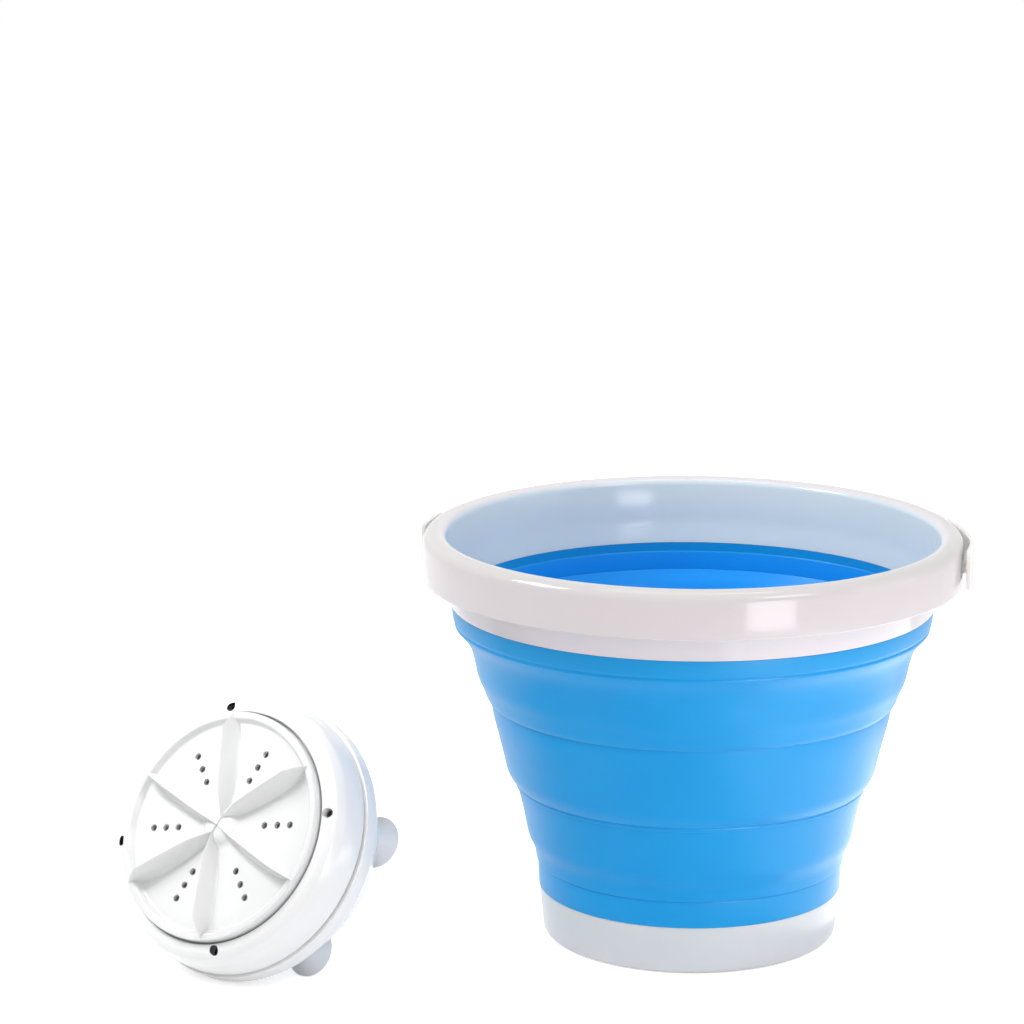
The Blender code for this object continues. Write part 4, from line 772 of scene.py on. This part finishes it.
back = to_mesh_object("housing_back", turn([
    (0, BACK_HEIGHT, 0), (BACK_RADIUS, BACK_HEIGHT, 1.2), (EDGE_RADIUS, EDGE_HEIGHT, 1.2),
    (EDGE_RADIUS, 38.4, 0.8), (78, 38.4, 0.2), (78, 32.9, 0), (75.5, 32.9, 0), (75.5, 25.7, 1),
    (66.6, 11.5, 1), (0, 11.5, 0),
], FINE, closed=False))
taper = atan2(EDGE_RADIUS - BACK_RADIUS, EDGE_HEIGHT - BACK_HEIGHT)
gland_place = Matrix.Rotation(pi, 4, "Z")
gland_place = gland_place @ Matrix.Translation((GLAND_RADIUS * MM, 0, GLAND_HEIGHT * MM))
gland_place = gland_place @ Matrix.Rotation(pi / 2 + taper, 4, "Y")
holes = [
    rod(f"cup_hole_{n}", CUP_HOLE_RADIUS, CUP_HOLE_START, CUP_HOLE_END, place)
    for n, place in enumerate(cup_places)
]
holes.append(
    rod("gland_hole", GLAND_HOLE_RADIUS, -GLAND_HOLE_HALF, GLAND_HOLE_HALF, gland_place)
)
combine(back, holes, "DIFFERENCE")
dress_washer(back, cover_abs, "washer_housing", "back_cover")
print("back cover:", len(back.data.polygons), "faces")

# %% [markdown]
# ## Cups and gland
#
# A suction cup is a thin bell with a neck that snaps through the cover. The gland is a rubber
# grommet whose mouth is closed by a membrane until a lead is pushed through it.

# %% Cups and gland
CUP_CORNERS = [
    (0, 14.2, 0), (2.8, 14.2, 0.6), (4.6, 11.8, 0.3), (3.2, 11.8, 0), (3.2, 8.7, 0),
    (6.5, 8.7, 0.8), (10.6, 4.4, 3), (CUP_LIP, 0.3, 0.3), (14.9, 0, 0), (13.7, 0, 0.3),
    (9.6, 3.0, 2), (6.3, 5.0, 1), (0, 5.0, 0),
]
for number, place in enumerate(cup_places, start=1):
    cup = turned_object(f"cup_{number}", CUP_CORNERS, MEDIUM, place)
    dress_washer(cup, milky_rubber, "washer_housing", f"suction_cup_{number}")
gland = turned_object("gland", [
    (0, -4.7, 0), (6.5, -4.7, 0.4), (6.5, -3.2, 0.3), (4.5, -3.2, 0), (4.5, 0.7, 0),
    (6.5, 0.7, 0.3), (4.6, 2.2, 0.5), (2.4, 2.2, 0.4), (2.4, 0.9, 0.2), (0, 0.7, 0),
], SMALL, gland_place)
dress_washer(gland, black_rubber, "washer_housing", "cable_gland")
print("cups:", CUPS, "gland: 1")

# %% [markdown]
# ## Case screws
#
# The screws have low domed heads with a cross recess, cut by two crossed bars. Each was driven home
# to another angle, so each cross is turned a little further than the last.

# %% Screws
HEAD_TOP = 60.8
BAR_LENGTH, BAR_WIDTH, BAR_DEPTH = 2.9, 0.62, 2
SCREW_TWIST = 0.4
SCREW_CORNERS = [
    (0, 37.8, 0), (0.75, 37.8, 0), (1.5, 39.3, 0), (1.5, 58.8, 0), (2.5, 58.8, 0.15),
    (2.5, 60.0, 0.5), (1.75, HEAD_TOP, 0.5), (0, 60.9, 0),
]
for number, place in enumerate(screw_places):
    screw = to_mesh_object(f"screw_{number + 1}", turn(SCREW_CORNERS, SMALL, closed=False))
    bars = []
    for quarter in range(2):
        bar = bmesh.new()
        bmesh.ops.create_cube(bar, size=1)
        bmesh.ops.scale(
            bar, vec=(BAR_LENGTH * MM, BAR_WIDTH * MM, BAR_DEPTH * MM), verts=bar.verts
        )
        twist = Matrix.Rotation(quarter * pi / 2 + SCREW_TWIST * number, 3, "Z")
        bmesh.ops.rotate(bar, verts=bar.verts, cent=(0, 0, 0), matrix=twist)
        bmesh.ops.translate(bar, vec=(0, 0, HEAD_TOP * MM), verts=bar.verts)
        bars.append(to_mesh_object(f"bar_{quarter}", bar))
    combine(screw, bars, "DIFFERENCE")
    screw.data.transform(place)
    dress_washer(screw, black_oxide, "washer_housing", f"case_screw_{number + 1}")
print("screws:", SCREWS)

# %% [markdown]
# ## The impeller
#
# The impeller makes this object what it is: a dished plate with a raised rim, six slender vanes and
# six rows of holes. Seen from above a vane is a lens with pointed ends. Its crest is a narrow edge
# that climbs out of the hub, runs nearly level and drops to the tip just inside the rim, and its
# sides are steep and slightly hollow. A grid of points is bent to that form: along it two short
# tables of shares give its width and its height, across it a power curve gives the hollow side. Its
# border is then drawn down into the plate. The vanes meet three by three at the ends of a short
# ridge across the hub, which is made by the same function from its own two tables.

# %% One vane
PLATE = 65.5
VANE_HALF_WIDTH, VANE_CREST, VANE_ROOT_DEPTH = 5.0, 13.0, 1.2
CREST_FLAT, HOLLOW_POWER = 0.08, 1.5
STEPS_ALONG, STEPS_ACROSS = 56, 16
VANE_WIDTH_SHARES = (
    (0, 0.16), (0.1, 0.42), (0.22, 0.70), (0.38, 0.94), (0.55, 1), (0.7, 0.92), (0.82, 0.70),
    (0.91, 0.42), (1, 0.06),
)
VANE_HEIGHT_SHARES = (
    (0, 0.36), (0.1, 0.56), (0.22, 0.80), (0.38, 0.90), (0.55, 0.95), (0.7, 0.98), (0.82, 1),
    (0.91, 0.72), (1, 0.27),
)
HUB_WIDTH_SHARES = ((0, 0.14), (0.1, 0.22), (0.9, 0.22), (1, 0.14))
HUB_HEIGHT_SHARES = ((0, 0.30), (0.1, 0.37), (0.9, 0.37), (1, 0.30))


def share_at(shares, where):
    """The value of a table of (place, share) rows at this place, straight between its rows."""
    for (low, first), (high, second) in zip(shares, shares[1:]):
        if where <= high:
            return first + (second - first) * (where - low) / (high - low)
    return shares[-1][1]


def vane(name, start, end, widths, heights):
    """A vane from start to end, (x, y) in millimetres, as an object in the washer's frame."""
    surface = bmesh.new()
    bmesh.ops.create_grid(surface, x_segments=STEPS_ALONG, y_segments=STEPS_ACROSS, size=1)
    start, end = Vector(start), Vector(end)
    along = (end - start).normalized()
    across = Vector((-along.y, along.x))
    for point in surface.verts:
        where, side = (point.co.x + 1) / 2, point.co.y
        from_crest = max(0.0, abs(side) - CREST_FLAT) / (1 - CREST_FLAT)
        hollow = max(0.0, 1 - from_crest) ** HOLLOW_POWER
        spot = start.lerp(end, where) + across * side * VANE_HALF_WIDTH * share_at(widths, where)
        crest = PLATE + VANE_CREST * share_at(heights, where) * hollow
        point.co = Vector((spot.x, spot.y, crest)) * MM
    border = [edge for edge in surface.edges if edge.is_boundary]
    drawn = bmesh.ops.extrude_edge_only(surface, edges=border)
    for item in drawn["geom"]:
        if isinstance(item, bmesh.types.BMVert):
            item.co.z = (PLATE - VANE_ROOT_DEPTH) * MM
    bmesh.ops.contextual_create(surface, geom=[e for e in surface.edges if e.is_boundary])
    bmesh.ops.recalc_face_normals(surface, faces=surface.faces)
    return to_mesh_object(name, surface)


print("vane tables:", len(VANE_WIDTH_SHARES), "and", len(HUB_WIDTH_SHARES), "rows")

# %% [markdown]
# The plate is turned, the ridge and the six vanes are joined to it, and then the bore of the brass
# insert and three circles of holes are cut. The holes lie midway between the vanes.

# %% Impeller
VANES = 6
VANE_START, RIDGE = radians(41.5), radians(71.5)
RIDGE_HALF, ROOT_REACH, VANE_TIP = 6.5, 5.3, 65.3
HOLE_CIRCLES, HOLE_RADIUS = (30.0, 38.8, 47.4), 2.0
INSERT_RADIUS, INSERT_TOP = 5, 67.8
CUT_START, CUT_END = 60, 70

impeller = to_mesh_object("impeller_plate", turn([
    (0, 63, 0), (63.8, 63, 0.3), (63.8, 61.6, 0.2), (66, 61.6, 0.3), (66, 69, 0.8),
    (62.2, 69, 0.7), (60.2, PLATE, 0.9), (12, PLATE, 2), (9.4, 68.0, 2), (5.4, 69.2, 1.6),
    (0, 69.4, 0),
], FINE, closed=False))
along_ridge = Vector((cos(RIDGE), sin(RIDGE)))
vanes = [vane(
    "hub_ridge", along_ridge * -RIDGE_HALF, along_ridge * RIDGE_HALF, HUB_WIDTH_SHARES,
    HUB_HEIGHT_SHARES,
)]
for number in range(VANES):
    angle = VANE_START + 2 * pi * number / VANES
    reach = ROOT_REACH * cos(angle - RIDGE)
    root = (reach * cos(RIDGE), reach * sin(RIDGE))
    tip = (VANE_TIP * cos(angle), VANE_TIP * sin(angle))
    vanes.append(vane(f"vane_{number + 1}", root, tip, VANE_WIDTH_SHARES, VANE_HEIGHT_SHARES))
combine(impeller, vanes, "UNION")
holes = [rod("insert_bore", INSERT_RADIUS, CUT_START, INSERT_TOP, Matrix())]
for radius in HOLE_CIRCLES:
    for number, place in enumerate(around(VANES, radius, VANE_START + pi / VANES)):
        name = f"hole_{radius:.0f}_{number}"
        holes.append(rod(name, HOLE_RADIUS, CUT_START, CUT_END, place))
combine(impeller, holes, "DIFFERENCE")
dress_washer(impeller, impeller_abs, "pulsator", "impeller")
print("impeller:", len(impeller.data.polygons), "faces")

# %% [markdown]
# ## The inner parts
#
# The seals, gears, shafts, bushes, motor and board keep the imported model's own shapes. They only
# change their material: each node's slot is given the finish of what it is made of.

# %% Finishes of the inner parts
FINISH_OF_SLOT = {
    "white_pp": rim_pp, "white_abs": cover_abs, "blue_tpr": blue_rubber,
    "black_rubber": black_rubber, "clear_rubber": milky_rubber, "dark_steel": black_oxide,
    "steel": zinc_steel, "brass": turned_brass, "gear_nylon": gear_nylon,
    "board_green": board_resin,
}
slot_of_node = {part["node"]: part["material_slot"] for part in frame["record"]["subparts"]}
for name, node in frame["nodes"].items():
    finish = FINISH_OF_SLOT[slot_of_node[name]]
    for index in range(len(node.data.materials)):
        node.data.materials[index] = finish
print("nodes finished:", len(frame["nodes"]))

# %% [markdown]
# ## The floor
#
# The photograph is a product shot on plain white. The floor is a wide disc of pale paper. Seen by
# the camera or in a reflection it glows just enough to be white, with enough real diffuse light
# left in it to keep the soft contact shadow.

# %% Floor
FLOOR_RADIUS, FLOOR_DROP, FLOOR_GLOW = 6, 0.2, 0.56

floor_shape = bmesh.new()
bmesh.ops.create_circle(floor_shape, cap_ends=True, segments=MEDIUM, radius=FLOOR_RADIUS)
bmesh.ops.translate(floor_shape, vec=(0, 0, -FLOOR_DROP * MM), verts=floor_shape.verts)
floor = to_mesh_object("floor", floor_shape)
paper, sheet, paper_place = start_material("paper floor")
grain = add_node(
    paper, "ShaderNodeTexNoise", Vector=paper_place, Scale=pattern_scale(400), Detail=2.0
)
tone = add_node(
    paper, "ShaderNodeMix", {"data_type": "RGBA"}, Factor=grain.outputs["Fac"],
    n6=linear("#F4F4F4"), n7=linear("#F2F2F2"),
)
seen = add_node(paper, "ShaderNodeLightPath")
looked_at = add_node(
    paper, "ShaderNodeMath", {"operation": "MAXIMUM"}, n0=seen.outputs["Is Camera Ray"],
    n1=seen.outputs["Is Glossy Ray"],
)
lift = add_node(
    paper, "ShaderNodeMath", {"operation": "MULTIPLY"}, n0=looked_at.outputs["Value"],
    n1=FLOOR_GLOW,
)
feed(
    sheet, Base_Color=tone.outputs[2], Roughness=0.9, Emission_Color=WHITE,
    Emission_Strength=lift.outputs["Value"],
)
floor.data.materials.append(paper)
print("floor: radius", FLOOR_RADIUS, "m")

# %% [markdown]
# ## World and lamps
#
# The world is white to the camera and in reflections, and about half as strong as a light. Large
# soft lamps stand above, at the left and at the right. An upright softbox stands low at the right,
# and its reflection is the bright patch on the front of the rim: a second lamp at its place, which
# only shows in reflections, brings that patch up. A reflector lies on the floor at the right. It
# only shows in reflections too, and gives the rubber its pale haze on that side. A narrow lamp
# lights the face of the washer.

# %% World
AMBIENT, BACKGROUND = 0.55, 1.0

world = bpy.data.worlds.new("studio")
bpy.context.scene.world = world
world.use_nodes = True
path = add_node(world, "ShaderNodeLightPath")
mirrored = add_node(
    world, "ShaderNodeMath", {"operation": "MAXIMUM"}, n0=path.outputs["Is Glossy Ray"],
    n1=path.outputs["Is Transmission Ray"],
)
direct = add_node(
    world, "ShaderNodeMath", {"operation": "MAXIMUM"}, n0=path.outputs["Is Camera Ray"],
    n1=mirrored.outputs["Value"],
)
level = add_node(
    world, "ShaderNodeMapRange", Value=direct.outputs["Value"], To_Min=AMBIENT, To_Max=BACKGROUND
)
feed(world.node_tree.nodes["Background"], Color=WHITE, Strength=level.outputs["Result"])
print("world: ambient", AMBIENT, "background", BACKGROUND)


# %% Lamps
def softbox(name, place, target, size, power, colour=(1, 1, 1)):
    """A rectangular lamp at place that looks at target, in metres and watts."""
    lamp = bpy.data.lights.new(name, "AREA")
    lamp.shape = "RECTANGLE"
    lamp.size, lamp.size_y = size
    lamp.energy = power
    lamp.color = colour
    holder = bpy.data.objects.new(name, lamp)
    holder.location = place
    holder.rotation_euler = (Vector(target) - Vector(place)).to_track_quat("-Z", "Y").to_euler()
    bpy.context.scene.collection.objects.link(holder)
    return holder


softbox("key left", (-1.2, -0.2, 1.4), (-0.1, 0, 0.12), size=(0.6, 0.5), power=13)
softbox("overhead", (0, 0.15, 1.6), (0, 0.1, 0.1), size=(0.9, 0.4), power=4)
softbox("fill right", (0.95, -1.0, 1.3), (0, 0, 0.12), size=(0.6, 0.5), power=5)
softbox("side right", (1.0, -0.1, 0.45), (0.1, 0, 0.12), size=(0.6, 0.6), power=1.0)

LOW_PLACE, RIM_FRONT, LOW_SIZE = (0.405, -0.70, 0.16), (0.045, -0.148, 0.2), (0.26, 0.36)
softbox("low right", LOW_PLACE, RIM_FRONT, LOW_SIZE, power=1.3, colour=(1, 0.93, 0.97))
washer_key = softbox(
    "washer key", (-0.47, -0.27, 0.58), (-0.25, -0.07, 0.06), size=(0.1, 0.1), power=0.038
)
washer_key.data.spread = radians(26)
glint = softbox("glint", LOW_PLACE, RIM_FRONT, LOW_SIZE, power=4.0)
reflector = softbox(
    "reflector", (0.32, -0.13, 0.004), (0.32, -0.13, 1), size=(0.45, 0.74), power=2.2
)
glint.visible_diffuse = reflector.visible_diffuse = False
glint.visible_camera = reflector.visible_camera = False
print("lamps: 8")

# %% [markdown]
# ## The camera
#
# The camera was fitted to the bucket's ellipses: it stands 2.1 m in front of the bucket's axis and
# 0.72 m up, with a long lens, and looks 12.46 degrees down and 2.8 degrees to the left.

# %% Camera
CAMERA_BACK, CAMERA_UP = 2.1247, 0.7181
LOOK_DOWN, LOOK_LEFT = 12.46, 2.797
SENSOR_WIDTH, LENS, FAR_CLIP = 36, 133.33, 50

camera_data = bpy.data.cameras.new("camera")
camera_data.sensor_width = SENSOR_WIDTH
camera_data.lens = LENS
camera_data.clip_end = FAR_CLIP
camera = bpy.data.objects.new("camera", camera_data)
camera.location = (0, -CAMERA_BACK, CAMERA_UP)
camera.rotation_euler = (radians(90 - LOOK_DOWN), 0, radians(LOOK_LEFT))
bpy.context.scene.collection.objects.link(camera)
bpy.context.scene.camera = camera
bpy.context.scene.view_settings.view_transform = "Standard"
print("camera:", camera.location[:], "lens", camera_data.lens)
